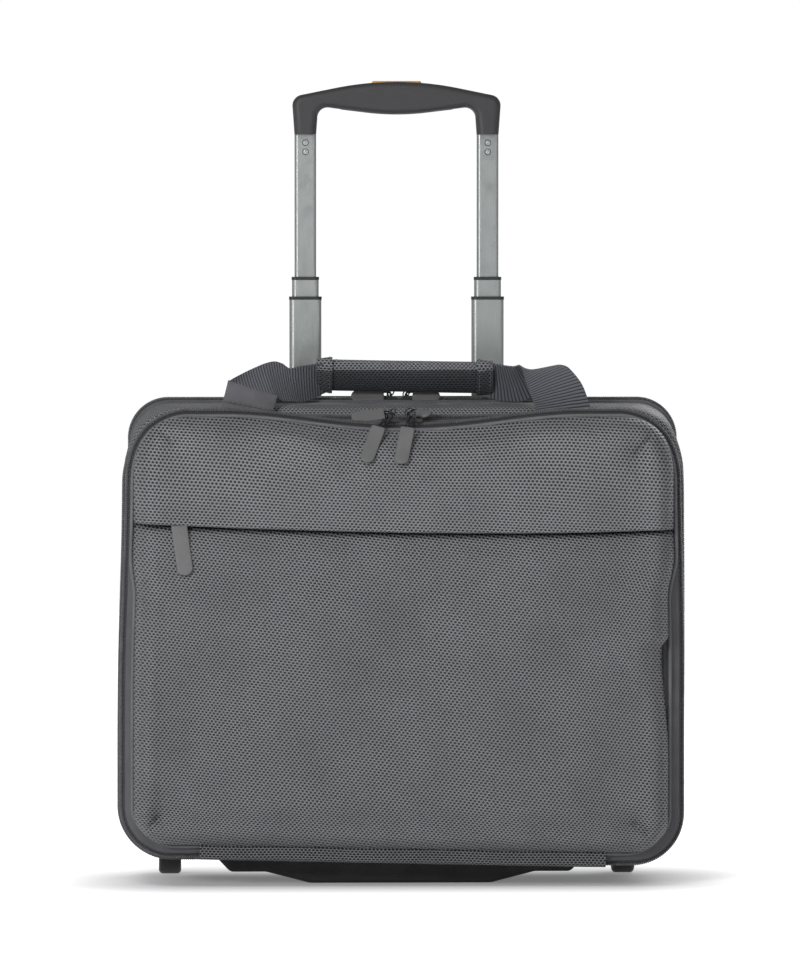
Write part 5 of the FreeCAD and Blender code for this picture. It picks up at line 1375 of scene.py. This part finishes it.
def rivet_domes_and_shade_rings():
    """A dark ring round each rivet's head, painted shade where the head meets the tube, and the head's
    raised middle, almost level with the tube.
    """
    low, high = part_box("rivets")
    radius = 0.0023
    rims = []
    for x in (low.x + radius, high.x - radius):
        for z in (low.z + radius, high.z - radius):
            for side, out in ((low.y, 0.0001), (high.y, -0.0001)):
                middle = np.array([x, side + out, z])
                reach = np.array([0.0014, 0, 0])
                # Painted shade: a dark ring round the edge of the rivet's head.
                rims.append(wire_loop(middle - reach, middle + reach, (0, 0, 1), 0.0022, 0.0003, finish=0))
                middle = middle + [0, 2 * out, 0]
                rims.append(wire_loop(middle - 0.0001 * reach, middle + 0.0001 * reach, (0, 0, 1), 0.0008,
                                      0.0005, finish=1))
    return rims


build("rivet_domes_and_shade_rings", rivet_domes_and_shade_rings(), (SLIDER, RIVET), "third_stage")


# --- finishes of the moulded and metal parts ---------------------------------------------------

PART_FINISHES = {
    "black_plastic": BLACK_PLASTIC, "board": BOARD, "grip_plastic": GRIP_PLASTIC,
    "button_plastic": BUTTON_PLASTIC, "hub_plastic": HUB_PLASTIC, "tyre": TYRE, "tube": TUBE,
    "steel": STEEL, "rivet": RIVET, "rod": STEEL, "slider": SLIDER, "pull": TAB,
    "zip_tape": TAPE, "dark_mesh": OPEN_MESH, "light_mesh": LIGHT_MESH, "dark_lining": LINING,
    "smooth_nylon": NYLON, "webbing": WEBBING,
}
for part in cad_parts.values():
    for place in part.material_slots:
        place.material = PART_FINISHES[place.material.name.split(".")[0]]


# --- floor, light and camera -------------------------------------------------------------------

def floor_finish():
    """A pale floor. Only the camera, mirrors and clear things see its own glow, which grows away
    from the case, so that the floor meets the background and the case's shadow still shows."""
    material = bpy.data.materials.new("pale floor")
    material.use_nodes = True
    tree = material.node_tree
    shader = tree.nodes["Principled BSDF"]
    shader.inputs["Base Color"].default_value = (0.80, 0.80, 0.82, 1)
    shader.inputs["Roughness"].default_value = 0.9
    rays = add(tree, "ShaderNodeLightPath").outputs
    seen = reckon(tree, "MAXIMUM", rays["Is Camera Ray"], rays["Is Glossy Ray"])
    seen = reckon(tree, "MAXIMUM", seen, rays["Is Transmission Ray"])
    place = add(tree, "ShaderNodeTexCoord").outputs["Object"]
    parts = add(tree, "ShaderNodeSeparateXYZ", {0: place}).outputs
    beside = reckon(tree, "MAXIMUM", reckon(tree, "SUBTRACT", reckon(tree, "ABSOLUTE", parts[0]), 0.16), 0.0)
    beyond = reckon(tree, "MAXIMUM", reckon(tree, "SUBTRACT", reckon(tree, "ABSOLUTE", parts[1]), 0.03), 0.0)
    away = reckon(tree, "SQRT", reckon(tree, "ADD", reckon(tree, "MULTIPLY", beside, beside),
                                       reckon(tree, "MULTIPLY", beyond, beyond)))
    glow = ease(tree, away, 0.0, 0.16, 0.16, 0.92)
    shader.inputs["Emission Color"].default_value = (1, 1, 1, 1)
    give(tree, shader.inputs["Emission Strength"], reckon(tree, "MULTIPLY", seen, glow))
    return material


bpy.ops.mesh.primitive_plane_add(size=9, location=(0, 0, 0))
floor = bpy.context.object
floor.name = "floor"
floor.data.materials.append(floor_finish())

world = bpy.data.worlds.new("studio")
bpy.context.scene.world = world
world.use_nodes = True
tree = world.node_tree
backdrop = tree.nodes["Background"]
rays = add(tree, "ShaderNodeLightPath").outputs
seen = reckon(tree, "MAXIMUM", rays["Is Camera Ray"], rays["Is Transmission Ray"])
give(tree, backdrop.inputs["Strength"],
     reckon(tree, "ADD", 0.27, reckon(tree, "MULTIPLY", seen, 0.75)))
backdrop.inputs["Color"].default_value = (1, 1, 1, 1)


def lamp(name, place, aim, size, watts):
    light = bpy.data.lights.new(name, "AREA")
    light.shape = "RECTANGLE"
    light.size, light.size_y = size
    light.energy = watts
    thing = bpy.data.objects.new(name, light)
    bpy.context.scene.collection.objects.link(thing)
    thing.location = place
    way = np.array(aim) - np.array(place)
    thing.rotation_euler = Vector(way).to_track_quat("-Z", "Y").to_euler()


lamp("key", (-1.9, -3.2, 1.15), (0, 0, 0.22), (0.8, 0.6), 58)
lamp("upper", (-0.8, -2.3, 2.3), (0, 0, 0.25), (0.9, 0.6), 22)
lamp("fill", (1.9, -3.2, 0.9), (0, 0, 0.25), (1.0, 1.2), 6)
lamp("back", (1.2, 3.0, 1.6), (0, 0, 0.3), (1.4, 1.4), 22)

camera = bpy.data.cameras.new("camera")
camera.lens = 301.5
camera.sensor_width = 36
camera.clip_end = 60
eye = bpy.data.objects.new("camera", camera)
bpy.context.scene.collection.objects.link(eye)
eye.location = (-0.19, -6.06, 0.476)
eye.rotation_euler = (math.radians(90 - 1.64), 0, math.radians(-1.8))
bpy.context.scene.camera = eye
bpy.context.scene.view_settings.view_transform = "Standard"
